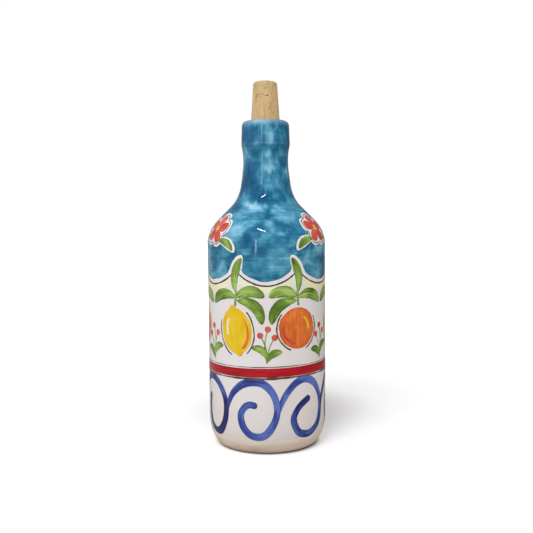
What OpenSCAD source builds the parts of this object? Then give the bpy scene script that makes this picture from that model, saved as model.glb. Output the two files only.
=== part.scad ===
// Glazed earthenware oil cruet with a tapered cork stopper.
// Millimetres, +Z up, origin on the table at the centre of the foot.

/* [Body] */
// Diameter of the glazed body
body_d = 80; // [72:1:92]
// Height of the bottle from the table to the top of the lip
bottle_h = 218.5; // [180:0.5:260]
// Drop from the lip to where the straight wall turns into the shoulder
shoulder_drop = 83.5; // [78:0.5:95]
// Radius of the rounded shoulder
shoulder_round = 24; // [18:1:28]
// Slope of the shoulder's flank away from the upright, in degrees
shoulder_slope = 45; // [40:1:50]
// Thickness of the fired clay wall
wall = 4.5; // [3:0.5:7]
// Thickness of the clay floor above the table
floor_t = 6; // [4:0.5:10]
// Radius between the floor and the wall inside
floor_round = 12; // [6:1:16]

/* [Foot] */
// Diameter of the flat that rests on the table
foot_d = 61.6; // [54:0.2:68]
// Height of the rounded edge between the foot and the wall
foot_edge_h = 19.5; // [12:0.5:28]
// Width of the resting ring
foot_ring_w = 7.5; // [5:0.5:12]
// Depth of the hollow inside the resting ring
foot_hollow = 1.5; // [0.5:0.5:3]
// Width of the slope between the resting ring and the hollow
foot_hollow_slope = 2; // [1:0.5:4]
// Height of the bare clay left under the glaze
bare_foot_h = 6; // [3:0.5:10]

/* [Neck] */
// Diameter of the neck at its narrowest
waist_d = 30.4; // [28:0.2:34]
// Drop from the lip to the narrowest part of the neck
waist_drop = 27; // [24:0.5:32]
// Radius of the hollow curve of the neck
waist_round = 48; // [40:1:60]
// Taper of the neck below its narrowest part, in degrees
neck_taper = 7.5; // [5:0.5:10]
// Radius between the neck and the shoulder's flank
neck_fillet = 26; // [18:1:32]
// Drop from the lip to the ridge under the collar
ridge_drop = 16; // [14:0.5:17]
// Radius of the ridge
ridge_round = 1.5; // [1:0.1:2.5]
// Diameter of the collar at the lip
lip_d = 32; // [31.2:0.2:34]
// Radius of the lip's outer edge
lip_round = 3.5; // [2:0.1:3.5]

/* [Mouth] */
// Diameter of the glazed mouth where the cork seats
mouth_d = 19.6; // [17:0.1:20]
// Radius of the lip's inner edge
mouth_round = 2; // [1:0.1:2]
// Length of the tapered seat
seat_len = 17; // [14:0.5:19]
// Taper of the seat on each side, in degrees
seat_taper = 1.7; // [1:0.1:3]
// Radius between the bore of the neck and the inside of the shoulder
throat_round = 20; // [12:1:24]

/* [Cork] */
// Length of the cork
cork_len = 44.5; // [38:0.5:50]
// Length of the cork inside the mouth
cork_insert = 16.5; // [10:0.5:16.5]
// Diameter of the cork's outer end
cork_top_d = 16.2; // [14:0.1:18]
// Radius of the cork's outer edge
cork_edge = 2.4; // [0.5:0.1:3]
// Bevel of the cork's inner edge
cork_bevel = 1; // [0.5:0.1:2]
// Clearance between the cork and its seat
cork_gap = 0.05; // [0.02:0.01:0.1]

/* [Glaze and colour] */
// Thickness of the white glaze
glaze_t = 0.4; // [0.2:0.05:0.8]
// Thickness of the painted colour on the glaze
paint_t = 0.15; // [0.1:0.05:0.3]
// Height of the red band's lower edge
band_z = 52.4; // [40:0.2:70]
// Width of the red band
band_w = 5.6; // [3:0.2:9]
// Number of scallops along the blue field's lower edge
scallop_count = 6; // [4:1:8]
// Drop from the shoulder to the scallops' lowest points
scallop_drop = 22; // [15:1:30]
// Depth of the scallops
scallop_depth = 12; // [5:0.5:13]

/* [Hidden] */
$fn = 128;

// Largest turn between two points of a rounded outline, in degrees
arc_step = 5;
// Reach of cutting shapes past what they cut
margin = 5;

body_r = body_d / 2;
foot_r = foot_d / 2;
foot_edge_w = body_r - foot_r;
shell_t = wall + 2 * glaze_t;
inside_r = body_r - shell_t;
floor_z = floor_t + glaze_t;
shoulder_z = bottle_h - shoulder_drop;
waist_z = bottle_h - waist_drop;
ridge_z = bottle_h - ridge_drop;
mouth_r = mouth_d / 2;
scallop_z = shoulder_z - scallop_drop;

function polar(a) = [cos(a), sin(a)];

// Point that lies at distance da along direction a and db along direction b from the origin
function meet(a, da, b, db) =
    [da * sin(b) - db * sin(a), db * cos(a) - da * cos(b)] / sin(b - a);

// Direction of the line that touches two rounds of one outline on their outer side
function shared_normal(c1, r1, c2, r2) =
    atan2(c2[1] - c1[1], c2[0] - c1[0]) - acos((r1 - r2) / norm(c2 - c1));

// Points of an arc; a negative radius gives a hollow curve with the same outward directions
function arc(centre, radius, from, to) =
    let (n = ceil(abs(to - from) / arc_step))
    [for (i = [0:n]) centre + radius * polar(from + (to - from) * i / n)];

function reversed(points) = [for (i = [len(points) - 1:-1:0]) points[i]];

// Centres of the rounds of the outline, from the shoulder up to the lip
shoulder_c = [body_r - shoulder_round, shoulder_z];
flank_reach = shoulder_c * polar(shoulder_slope) + shoulder_round;
waist_c = [waist_d / 2 + waist_round, waist_z];
neck_reach = waist_c * polar(neck_taper) - waist_round;
neck_fillet_c = meet(neck_taper, neck_reach + neck_fillet, shoulder_slope, flank_reach + neck_fillet);
ridge_flare = asin((ridge_z - waist_z) / (waist_round + ridge_round));
ridge_c = waist_c - (waist_round + ridge_round) * polar(-ridge_flare);
lip_c = [lip_d / 2 - lip_round, bottle_h - lip_round];
collar_taper = shared_normal(ridge_c, ridge_round, lip_c, lip_round);

// Centres of the rounds inside the neck and the place of the cork's seat
mouth_c = [mouth_r + mouth_round * cos(seat_taper), bottle_h - mouth_round];
seat_z = mouth_c[1] + mouth_round * sin(seat_taper);
seat_end_z = seat_z - seat_len;
bore_r = mouth_r - seat_len * tan(seat_taper);
throat_c = meet(0, bore_r + throat_round, shoulder_slope, flank_reach - shell_t + throat_round);
crest_r = (lip_c[0] + mouth_c[0]) / 2;

// Rounded edge above the foot, a quarter ellipse, from a height upwards; depth is measured inwards
function foot_edge(from_z, depth) =
    let (from = asin(from_z / foot_edge_h - 1), n = ceil(-from / arc_step))
    [for (i = [0:n]) let (t = from - from * i / n)
        [foot_r + (foot_edge_w - depth) * cos(t), foot_edge_h * (1 + sin(t))]];

// Outline from the shoulder to the crest of the lip, moved outwards by off
function shoulder_to_crest(off) = concat(
    arc(shoulder_c, shoulder_round + off, 0, shoulder_slope),
    arc(neck_fillet_c, off - neck_fillet, shoulder_slope, neck_taper),
    arc(waist_c, off - waist_round, neck_taper, -ridge_flare),
    arc(ridge_c, ridge_round + off, -ridge_flare, collar_taper),
    arc(lip_c, lip_round + off, collar_taper, 90),
    [[crest_r, bottle_h + off]]);

// Outline from the crest of the lip down to the middle of the floor, moved into the hollow by off
function crest_to_floor(off) = concat(
    [[crest_r, bottle_h + off]],
    arc(mouth_c, mouth_round + off, 90, 180 - seat_taper),
    [[bore_r - off, seat_end_z]],
    arc(throat_c, throat_round + off, 180, 180 + shoulder_slope),
    arc(shoulder_c, shoulder_round - shell_t - off, shoulder_slope, 0),
    arc([inside_r - floor_round, floor_z + floor_round], floor_round - off, 0, -90),
    [[0, floor_z + off]]);

// Turned coat between two outlines that run the same way
module coat(inner, outer) {
    rotate_extrude() polygon(concat(inner, reversed(outer)));
}

// Fired clay shell with its hollow foot
module clay_body() {
    hollow_r = foot_r - foot_ring_w;
    underside = [[0, foot_hollow], [hollow_r - foot_hollow_slope, foot_hollow], [hollow_r, 0]];
    color("#c9b5a3")
        rotate_extrude()
            polygon(concat(underside, foot_edge(0, glaze_t), shoulder_to_crest(-glaze_t),
                           crest_to_floor(-glaze_t)));
}

// Glaze that makes the inside oil-tight, from the floor to the crest of the lip
module lining_glaze() {
    color("#eceae6") coat(crest_to_floor(-glaze_t), crest_to_floor(0));
}

// White glaze on the outside, from the bare foot to the crest of the lip
module outer_glaze() {
    color("#dedad6")
        coat(concat(foot_edge(bare_foot_h, glaze_t), shoulder_to_crest(-glaze_t)),
             concat(foot_edge(bare_foot_h, 0), shoulder_to_crest(0)));
}

// Blue field over the neck and shoulder, scalloped along its lower edge
module blue_wash() {
    half_chord = body_r * sin(180 / scallop_count);
    scallop_r = (half_chord ^ 2 + scallop_depth ^ 2) / (2 * scallop_depth);
    centre_z = scallop_z + scallop_r;
    color("#4688ab")
        intersection() {
            coat(concat([[body_r, scallop_z]], shoulder_to_crest(0)),
                 concat([[body_r + paint_t, scallop_z]], shoulder_to_crest(paint_t)));
            union() {
                translate([0, 0, centre_z]) cylinder(r = body_r + margin, h = bottle_h);
                for (i = [0:scallop_count - 1])
                    rotate(360 * i / scallop_count)
                        translate([0, 0, centre_z])
                            rotate([90, 0, 0])
                                cylinder(r = scallop_r, h = body_r + margin);
            }
        }
}

// Red band round the body
module red_band() {
    color("#b02a38")
        translate([0, 0, band_z])
            difference() {
                cylinder(r = body_r + paint_t, h = band_w);
                translate([0, 0, -margin]) cylinder(r = body_r, h = band_w + 2 * margin);
            }
}

// Cork, widest where it enters the mouth
module cork_stopper() {
    widest_r = mouth_r - cork_gap;
    inner_z = seat_z - cork_insert;
    outer_z = inner_z + cork_len;
    inner_r = widest_r - cork_insert * tan(seat_taper);
    outer_c = [cork_top_d / 2 - cork_edge, outer_z - cork_edge];
    color("#c7ae81")
        rotate_extrude()
            polygon(concat(
                [[0, inner_z], [inner_r - cork_bevel, inner_z], [inner_r, inner_z + cork_bevel]],
                [[widest_r, seat_z]],
                arc(outer_c, cork_edge, 0, 90),
                [[0, outer_z]]));
}

clay_body();
lining_glaze();
outer_glaze();
blue_wash();
red_band();
cork_stopper();
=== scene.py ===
"""Looks of a glazed earthenware oil cruet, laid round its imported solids.

Every piece is a numpy surface. The bottle's outer line is a chain of rounds, and a point on the bottle is
given by its angle round the axis, its way along that line and its lift off the glaze. Coats sweep the line
round the axis, and brush marks are strips that follow a path on it. Shapes are worked out in millimetres
and become metres where a mesh is made; the sizes of finishes and of the studio are in metres.
"""

import logging
from dataclasses import dataclass, field
from enum import Enum
from typing import Optional, Sequence, Union

import bpy
import numpy as np
from mathutils import Matrix, Vector


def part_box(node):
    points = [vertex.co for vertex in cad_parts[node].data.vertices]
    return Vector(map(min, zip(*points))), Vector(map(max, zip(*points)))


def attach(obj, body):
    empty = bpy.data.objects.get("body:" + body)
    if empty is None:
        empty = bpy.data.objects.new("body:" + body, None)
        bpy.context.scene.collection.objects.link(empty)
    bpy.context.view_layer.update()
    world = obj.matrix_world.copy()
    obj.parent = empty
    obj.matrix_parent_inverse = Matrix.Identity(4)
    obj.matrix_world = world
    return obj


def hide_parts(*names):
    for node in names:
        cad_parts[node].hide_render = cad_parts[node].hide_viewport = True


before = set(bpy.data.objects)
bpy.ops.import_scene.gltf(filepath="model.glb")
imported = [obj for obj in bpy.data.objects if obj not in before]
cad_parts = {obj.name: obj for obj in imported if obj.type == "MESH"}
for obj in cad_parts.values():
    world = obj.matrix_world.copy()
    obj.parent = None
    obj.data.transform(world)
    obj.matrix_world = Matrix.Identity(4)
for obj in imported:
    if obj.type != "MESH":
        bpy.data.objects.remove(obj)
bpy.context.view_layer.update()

LOG = logging.getLogger("oil_cruet")
MM = 0.001  # in metres
CM = 10.0  # in millimetres
BOTTLE = "bottle"
CORK = "cork"
AXIS_R = 0.02
ROUND_STEPS = 288
CURVE_SAMPLES = 24
GLAZE_IOR = 1.5

Colour = tuple[int, int, int]
Pair = tuple[float, float]
Triple = tuple[float, float, float]
Bow = tuple[Pair, Pair, float]
Path = tuple[Pair, ...]
Along = Union[float, Sequence[float], np.ndarray]
Settings = Optional[dict[str, Union[float, int, str, bool, tuple, list]]]
Sockets = Optional[dict[Union[str, int], object]]


def node_box(node: str) -> np.ndarray:
    """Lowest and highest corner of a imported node, in millimetres."""
    return np.array([tuple(corner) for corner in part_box(node)]) / MM


def unit(degrees: np.ndarray) -> np.ndarray:
    """Unit vectors that point at angles given in degrees."""
    turn = np.radians(degrees)
    return np.stack([np.cos(turn), np.sin(turn)], axis=-1)


def circle(count: int) -> np.ndarray:
    """Angles of one whole turn in equal steps, to the right from the front."""
    return np.linspace(0, 2 * np.pi, count, endpoint=False)


def apart(angle: np.ndarray, other: float) -> np.ndarray:
    """Turn from another angle to each of these, between half a turn back and half a turn on."""
    return (angle - other + np.pi) % (2 * np.pi) - np.pi


def wrapped(angle: np.ndarray, radius: np.ndarray, height: np.ndarray) -> np.ndarray:
    """Points round the axis: the radius times the angle's sine and minus its cosine, and the height.

    Args:
        angle: Angles in radians, to the right from the front.
        radius: Distances from the axis.
        height: Heights above the table.

    Returns:
        Points in the shape of the three arrays together, with their coordinates last.
    """
    return np.stack(np.broadcast_arrays(radius * np.sin(angle), -radius * np.cos(angle), height), axis=-1)


def off_axis(section: np.ndarray) -> np.ndarray:
    """Share of a change in radius at a section's points: none within 1 mm of the axis, all from 2 mm."""
    return np.clip(section[None, :, 0] - 1, 0, 1)


def path_way(points: np.ndarray) -> np.ndarray:
    """Length walked along a chain of points, at each of its points."""
    return np.concatenate([[0.0], np.cumsum(np.linalg.norm(np.diff(points, axis=0), axis=1))])


def spread(values: Along, part: np.ndarray) -> np.ndarray:
    """Values set at equal distances along a mark, read between them at parts from 0 to 1."""
    given = np.atleast_1d(np.asarray(values, dtype=float))
    return np.interp(part, np.linspace(0, 1, len(given)), given)


def resampled(points: np.ndarray, step: float) -> np.ndarray:
    """Chain of points with no gap longer than a step: every straight piece is cut into equal shares.

    Args:
        points: Chain of points, one a row.
        step: Longest gap.

    Returns:
        The chain with its own points and the new ones.
    """
    gaps = np.linalg.norm(np.diff(points, axis=0), axis=1)
    shares = np.maximum(1, np.ceil(gaps / step)).astype(int)
    mark = np.repeat(np.arange(len(gaps)), shares)
    first = np.repeat(np.concatenate([[0], np.cumsum(shares)[:-1]]), shares)
    part = (np.arange(shares.sum()) - first) / np.repeat(shares, shares)
    inner = points[mark] + (points[mark + 1] - points[mark]) * part[:, None]
    return np.vstack([inner, points[-1:]])


def eased(points: np.ndarray, count: int) -> np.ndarray:
    """Smooth curve through given points, with more of its samples near its ends.

    Between two points the curve is the cubic whose slope at each end is half the chord of the neighbours.
    The samples lie along its length by half of one less the cosine of half a turn.

    Args:
        points: Points that the curve passes, one a row.
        count: Number of samples.

    Returns:
        The samples, one a row.
    """
    led = np.vstack([2 * points[:1] - points[1:2], points, 2 * points[-1:] - points[-2:-1]])
    place = np.linspace(0, len(points) - 1, CURVE_SAMPLES * len(points))
    span = np.minimum(place.astype(int), len(points) - 2)
    part = (place - span)[:, None]
    before, start, end, after = (led[span + i] for i in range(4))
    fine = start + 0.5 * part * (
        end - before + part * (2 * before - 5 * start + 4 * end - after
                               + part * (3 * (start - end) + after - before)))
    way = path_way(fine)
    wanted = way[-1] * (0.5 - 0.5 * np.cos(np.linspace(0, np.pi, count)))
    return np.stack([np.interp(wanted, way, column) for column in fine.T], axis=1)


def shaken(way: np.ndarray, length: float, rng: np.random.Generator) -> np.ndarray:
    """Uneven line of a hand: five sines with drawn phases, each shorter and weaker than the one before.

    Args:
        way: Places along the line.
        length: Length of the longest sine, in the units of way.
        rng: Source of the phases.

    Returns:
        Values of about one at most, at each place.
    """
    step = np.arange(1, 6)[:, None]
    phase = rng.uniform(0, 2 * np.pi, step.shape)
    return (np.sin(2 * np.pi * way[None, :] * step ** 1.3 / length + phase) / step).sum(axis=0) * 0.6


def ellipse(centre: Sequence[float], wide: float, high: float, start: float, end: float,
            tilt: float = 0.0) -> np.ndarray:
    """Thirteen points on part of an ellipse, which may be tilted to the left.

    Args:
        centre: Middle of the ellipse.
        wide: Half its width.
        high: Half its height.
        start: First angle, in degrees from its right end.
        end: Last angle.
        tilt: Turn of the whole ellipse.

    Returns:
        The points, one a row.
    """
    flat = unit(np.linspace(start, end, 13)) * [wide, high]
    right, up = unit(tilt), unit(tilt + 90.0)
    return np.asarray(centre) + flat[:, :1] * right + flat[:, 1:] * up


def bent(start: Sequence[float], end: Sequence[float], bend: float) -> np.ndarray:
    """Five points on a bow between two points, whose middle lies to the left by a share of the chord.

    Args:
        start: First point.
        end: Last point.
        bend: Share of the chord; below zero bends to the right.

    Returns:
        The points, one a row.
    """
    start, end = np.asarray(start, dtype=float), np.asarray(end, dtype=float)
    part = np.linspace(0, 1, 5)[:, None]
    chord = end - start
    return start + chord * part + 4 * part * (1 - part) * bend * np.array([-chord[1], chord[0]])


@dataclass(frozen=True)
class Round:
    """An arc of an outline, in degrees; a negative radius is a hollow curve that faces the same way."""

    centre: np.ndarray
    radius: float
    start: float
    end: float
    step: float = 2.5

    def trace(self, off: float = 0.0, fine: int = 1) -> tuple[np.ndarray, np.ndarray]:
        """Points at the radius plus off along each facing, and the facings, from start to end.

        Args:
            off: Distance that the arc is moved along its facings.
            fine: Number of parts that each step is cut into.

        Returns:
            Points and unit facings, one a row.
        """
        count = int(np.ceil(abs(self.end - self.start) / self.step)) * fine + 1
        facing = unit(np.linspace(self.start, self.end, count))
        return self.centre + (self.radius + off) * facing, facing


@dataclass(frozen=True)
class Outline:
    """Half section of the bottle, in millimetres, from a few driving sizes."""

    body_r: float
    lip_z: float
    foot_r: float = 30.8
    foot_edge_h: float = 19.5
    foot_steps: int = 45
    foot_ring_w: float = 7.5
    foot_hollow: float = 1.5
    foot_hollow_slope: float = 2.0
    bare_foot_h: float = 6.0
    shoulder_drop: float = 83.5
    shoulder_round: float = 24.0
    shoulder_slope: float = 45.0
    waist_r: float = 15.2
    waist_drop: float = 27.0
    waist_round: float = 48.0
    neck_taper: float = 7.5
    neck_fillet: float = 26.0
    ridge_drop: float = 16.0
    ridge_round: float = 1.5
    lip_r: float = 16.0
    lip_round: float = 3.5
    mouth_r: float = 9.8
    mouth_round: float = 2.0
    seat_len: float = 17.0
    seat_taper: float = 1.7
    throat_round: float = 20.0
    shell_t: float = 5.3
    floor_z: float = 6.4
    floor_round: float = 12.0
    glaze_t: float = 0.4

    @property
    def ridge_z(self) -> float:
        """Height of the ridge under the collar."""
        return self.lip_z - self.ridge_drop

    @property
    def shoulder_c(self) -> np.ndarray:
        """Centre of the rounded shoulder."""
        return np.array([self.body_r - self.shoulder_round, self.lip_z - self.shoulder_drop])

    @property
    def lip_c(self) -> np.ndarray:
        """Centre of the lip's outer edge."""
        return np.array([self.lip_r - self.lip_round, self.lip_z - self.lip_round])

    @property
    def mouth_c(self) -> np.ndarray:
        """Centre of the lip's inner edge."""
        reach = self.mouth_round * np.cos(np.radians(self.seat_taper))
        return np.array([self.mouth_r + reach, self.lip_z - self.mouth_round])

    @property
    def crest(self) -> np.ndarray:
        """Point on top of the lip where the outer glaze meets the lining."""
        return np.array([(self.lip_c[0] + self.mouth_c[0]) / 2, self.lip_z])

    @staticmethod
    def meet(turn_a: float, reach_a: float, turn_b: float, reach_b: float) -> np.ndarray:
        """Point whose reach along two directions is given: the crossing of the lines square to them.

        Args:
            turn_a: First direction, in degrees.
            reach_a: Reach along it.
            turn_b: Second direction, in degrees.
            reach_b: Reach along that.

        Returns:
            The point.
        """
        return np.linalg.solve(np.stack([unit(turn_a), unit(turn_b)]), np.array([reach_a, reach_b]))

    def rounds(self) -> list[Round]:
        """Rounds of the outside, from the shoulder up to the lip: each starts where the one before it faces.

        Returns:
            The rounds, in order.
        """
        flank = self.shoulder_c @ unit(self.shoulder_slope) + self.shoulder_round
        waist_c = np.array([self.waist_r + self.waist_round, self.lip_z - self.waist_drop])
        neck = waist_c @ unit(self.neck_taper) - self.waist_round
        fillet_c = self.meet(self.neck_taper, neck + self.neck_fillet,
                             self.shoulder_slope, flank + self.neck_fillet)
        joined = self.waist_round + self.ridge_round
        flare = np.degrees(np.arcsin((self.ridge_z - waist_c[1]) / joined))
        ridge_c = waist_c - joined * unit(-flare)
        gap = self.lip_c - ridge_c
        collar = np.degrees(np.arctan2(gap[1], gap[0])
                            - np.arccos((self.ridge_round - self.lip_round) / np.linalg.norm(gap)))
        return [Round(self.shoulder_c, self.shoulder_round, 0, self.shoulder_slope),
                Round(fillet_c, -self.neck_fillet, self.shoulder_slope, self.neck_taper),
                Round(waist_c, -self.waist_round, self.neck_taper, -flare, 1.0),
                Round(ridge_c, self.ridge_round, -flare, collar),
                Round(self.lip_c, self.lip_round, collar, 90, 5.0)]

    def outside(self, off: float = 0.0, fine: int = 1) -> tuple[np.ndarray, np.ndarray]:
        """Outer line from the table up to the crest: a quarter ellipse, the rounds and a short flat.

        Args:
            off: Distance that the line is moved outwards.
            fine: Number of parts that each step of a round is cut into.

        Returns:
            Points and unit facings, one a row.
        """
        turn = np.radians(np.linspace(-90, 0, self.foot_steps * fine + 1))
        wide = self.body_r - self.foot_r + off
        edge = np.stack([self.foot_r + wide * np.cos(turn), self.foot_edge_h * (1 + np.sin(turn))], axis=1)
        edge_facing = np.stack([np.cos(turn) / wide, np.sin(turn) / self.foot_edge_h], axis=1)
        edge_facing /= np.linalg.norm(edge_facing, axis=1, keepdims=True)
        traced = [each.trace(off, fine) for each in self.rounds()]
        points = np.vstack([edge] + [points for points, _ in traced] + [self.crest + [0, off]])
        facing = np.vstack([edge_facing] + [facing for _, facing in traced] + [unit(90.0)])
        return points, facing

    def inside(self, off: float = 0.0) -> np.ndarray:
        """Line of the hollow from the crest down to the middle of the floor: rounds joined by straights.

        Args:
            off: Distance that the line is moved into the hollow.

        Returns:
            Points, one a row.
        """
        taper = np.radians(self.seat_taper)
        seat_end = self.mouth_c[1] + self.mouth_round * np.sin(taper) - self.seat_len
        bore_r = self.mouth_r - self.seat_len * np.tan(taper)
        flank = self.shoulder_c @ unit(self.shoulder_slope) + self.shoulder_round - self.shell_t
        throat_c = self.meet(0, bore_r + self.throat_round, self.shoulder_slope, flank + self.throat_round)
        floor_c = np.array([self.body_r - self.shell_t - self.floor_round, self.floor_z + self.floor_round])
        mouth = Round(self.mouth_c, self.mouth_round, 90, 180 - self.seat_taper, 10.0)
        throat = Round(throat_c, self.throat_round, 180, 180 + self.shoulder_slope, 5.0)
        shoulder = Round(self.shoulder_c, self.shoulder_round - self.shell_t, self.shoulder_slope, 0, 5.0)
        floor = Round(floor_c, self.floor_round, 0, -90, 5.0)
        return np.vstack([self.crest + [0, off], mouth.trace(off)[0], [bore_r - off, seat_end],
                          throat.trace(off)[0], shoulder.trace(-off)[0], floor.trace(-off)[0],
                          [AXIS_R, self.floor_z + off]])

    def underside(self) -> np.ndarray:
        """Line under the bottle from the axis out to the resting ring: a shallow hollow and its slope.

        Returns:
            Points, one a row.
        """
        ring_r = self.foot_r - self.foot_ring_w
        hollow_r = ring_r - self.foot_hollow_slope
        return np.array([[AXIS_R, self.foot_hollow], [hollow_r, self.foot_hollow], [ring_r, 0.0]])


@dataclass
class Patch:
    """A grid of points with what the finishes read from it.

    Attributes:
        points: Rows by columns by three, in millimetres.
        uv: Rows by columns by two.
        tags: Named values, each rows by columns.
        joined_rows: Whether the last row joins the first; if not, both end in a cap.
        joined_columns: The same for the columns.
    """

    points: np.ndarray
    uv: Optional[np.ndarray] = None
    tags: dict[str, np.ndarray] = field(default_factory=dict)
    joined_rows: bool = True
    joined_columns: bool = True

    def faces(self) -> tuple[np.ndarray, np.ndarray]:
        """Corners of the faces, turned so that they point outwards.

        Each quad joins two neighbouring rows and columns, and an open end is closed by one cap. The sum of
        the quads' signed cones over the middle point is negative where the grid is inside out.

        Returns:
            The corner indices in one row, and the number of corners of each face.
        """
        rows, columns = self.points.shape[:2]
        row, column = np.meshgrid(np.arange(rows - (not self.joined_rows)),
                                  np.arange(columns - (not self.joined_columns)), indexing="ij")
        row = (row.reshape(-1, 1) + [0, 1, 1, 0]) % rows
        column = (column.reshape(-1, 1) + [0, 0, 1, 1]) % columns
        quads = row * columns + column
        caps = []
        if not self.joined_rows:
            caps += [np.arange(columns), (rows - 1) * columns + np.arange(columns)[::-1]]
        if not self.joined_columns:
            caps += [np.arange(rows)[::-1] * columns, np.arange(rows) * columns + columns - 1]
        flat = self.points.reshape(-1, 3)
        corner = (flat - flat.mean(axis=0))[quads]
        cone = np.cross(corner[:, 1] - corner[:, 0], corner[:, 2] - corner[:, 0])
        cone += np.cross(corner[:, 2] - corner[:, 0], corner[:, 3] - corner[:, 0])
        if np.sum(corner[:, 0] * cone) < 0:
            quads = quads[:, ::-1]
            caps = [cap[::-1] for cap in caps]
        sizes = np.concatenate([np.full(len(quads), 4), [len(cap) for cap in caps]]).astype(int)
        return np.concatenate([quads.ravel()] + caps), sizes


def piece(name: str, patches: Sequence[Patch], finish: "Finish", replaces: Optional[str] = None,
          body: str = BOTTLE, crease: float = 40.0) -> None:
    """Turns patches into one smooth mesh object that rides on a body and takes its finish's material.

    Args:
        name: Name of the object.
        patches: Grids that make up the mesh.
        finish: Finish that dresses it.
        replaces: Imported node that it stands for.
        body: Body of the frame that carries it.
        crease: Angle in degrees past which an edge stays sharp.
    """
    faces = [patch.faces() for patch in patches]
    counts = [patch.points[..., 0].size for patch in patches]
    first = np.concatenate([[0], np.cumsum(counts)[:-1]]).astype(int)
    corners = np.concatenate([face + start for (face, _), start in zip(faces, first)])
    sizes = np.concatenate([size for _, size in faces])
    mesh = bpy.data.meshes.new(name)
    mesh.vertices.add(sum(counts))
    mesh.vertices.foreach_set("co", np.concatenate([patch.points.reshape(-1) for patch in patches]) * MM)
    mesh.loops.add(len(corners))
    mesh.loops.foreach_set("vertex_index", corners)
    mesh.polygons.add(len(sizes))
    mesh.polygons.foreach_set("loop_start", np.concatenate([[0], np.cumsum(sizes)[:-1]]))
    mesh.update(calc_edges=True)
    mesh.polygons.foreach_set("use_smooth", np.ones(len(sizes), dtype=bool))
    if patches[0].uv is not None:
        uv = np.concatenate([patch.uv.reshape(-1, 2) for patch in patches])
        mesh.uv_layers.new(name="brush").uv.foreach_set("vector", uv[corners].ravel())
    for tag in patches[0].tags:
        values = np.concatenate([patch.tags[tag].ravel() for patch in patches])
        mesh.attributes.new(tag, "FLOAT", "POINT").data.foreach_set("value", values)
    mesh.set_sharp_from_angle(angle=np.radians(crease))
    mesh.materials.append(finish.material())
    made = bpy.data.objects.new(name, mesh)
    bpy.context.scene.collection.objects.link(made)
    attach(made, body)
    if replaces:
        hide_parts(replaces)
    LOG.info("%s: %d faces on %s, finish %s", name, len(sizes), body, finish.slot)


def turned(profile: np.ndarray, joined: bool, sway: Optional[np.ndarray] = None) -> Patch:
    """Surface of revolution: a half section carried once round the axis, starting at the front.

    Args:
        profile: Radius and height of each point of the section.
        joined: Whether the section is a closed loop; if not, it starts and ends beside the axis.
        sway: Change of the radius, angles by points.

    Returns:
        The patch, with one row for each angle.
    """
    radius = profile[None, :, 0] + (0 if sway is None else sway)
    points = wrapped(circle(ROUND_STEPS)[:, None], radius, profile[None, :, 1])
    return Patch(points, joined_columns=joined)


class Brush(Enum):
    """How the width of a mark runs from its start to its end."""

    ROUND = "even, with round ends"
    LEAF = "thin start, full middle, drawn-out tip"
    PETAL = "thin start, full and blunt tip"
    OVAL = "an ellipse"
    LEMON = "an ellipse drawn out at its ends"
    FLICK = "round start that trails off"

    def width(self, part: np.ndarray) -> np.ndarray:
        """Share of the full half width at parts from 0 to 1 along the mark.

        A leaf or petal is a product of powers of the parts before and after, an oval the root of that
        product, a lemon an oval joined with two small knobs, and a flick falls with the part that is left.

        Args:
            part: Parts along the mark.

        Returns:
            Share at each part.
        """
        rest = 1 - part
        powers = {Brush.LEAF: (0.7, 0.6), Brush.PETAL: (0.65, 0.42)}
        if self in powers:
            before, after = powers[self]
            share = part ** before * rest ** after
            return share / share.max()
        if self is Brush.OVAL:
            return 2 * np.sqrt(part * rest)
        if self is Brush.LEMON:
            off = np.abs(2 * part - 1)
            fruit = np.sqrt(np.maximum(0, 1 - (off / 0.9) ** 2))
            knob = 0.24 * np.sqrt(np.maximum(0, 1 - np.maximum(0, (off - 0.8) / 0.2) ** 2))
            return np.maximum(fruit ** 1.1, knob)
        if self is Brush.FLICK:
            return np.minimum(1, 3 * np.sqrt(part)) * rest ** 0.7
        return np.ones_like(part)


@dataclass(frozen=True)
class Mark:
    """A brush mark on the unrolled bottle.

    Attributes:
        path: Points that the brush passes: right and up, in millimetres.
        half: Half width, one value or several along the path.
        brush: How the width runs.
        lift: Height of the paint above the glaze.
        tone: Lighter above zero, darker below; one value or several along the path.
        ragged: Share of the width that the edge wavers by.
        steps: Samples along the path.
    """

    path: np.ndarray
    half: Along
    brush: Brush = Brush.ROUND
    lift: float = 0.06
    tone: Along = 0.0
    ragged: float = 0.07
    steps: int = 44


@dataclass(frozen=True)
class Place:
    """Where a mark's own axes lie on the bottle: angle in degrees, way up the outline, turn and mirror."""

    angle: float
    way: float
    turn: float = 0.0
    mirror: int = 1


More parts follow.
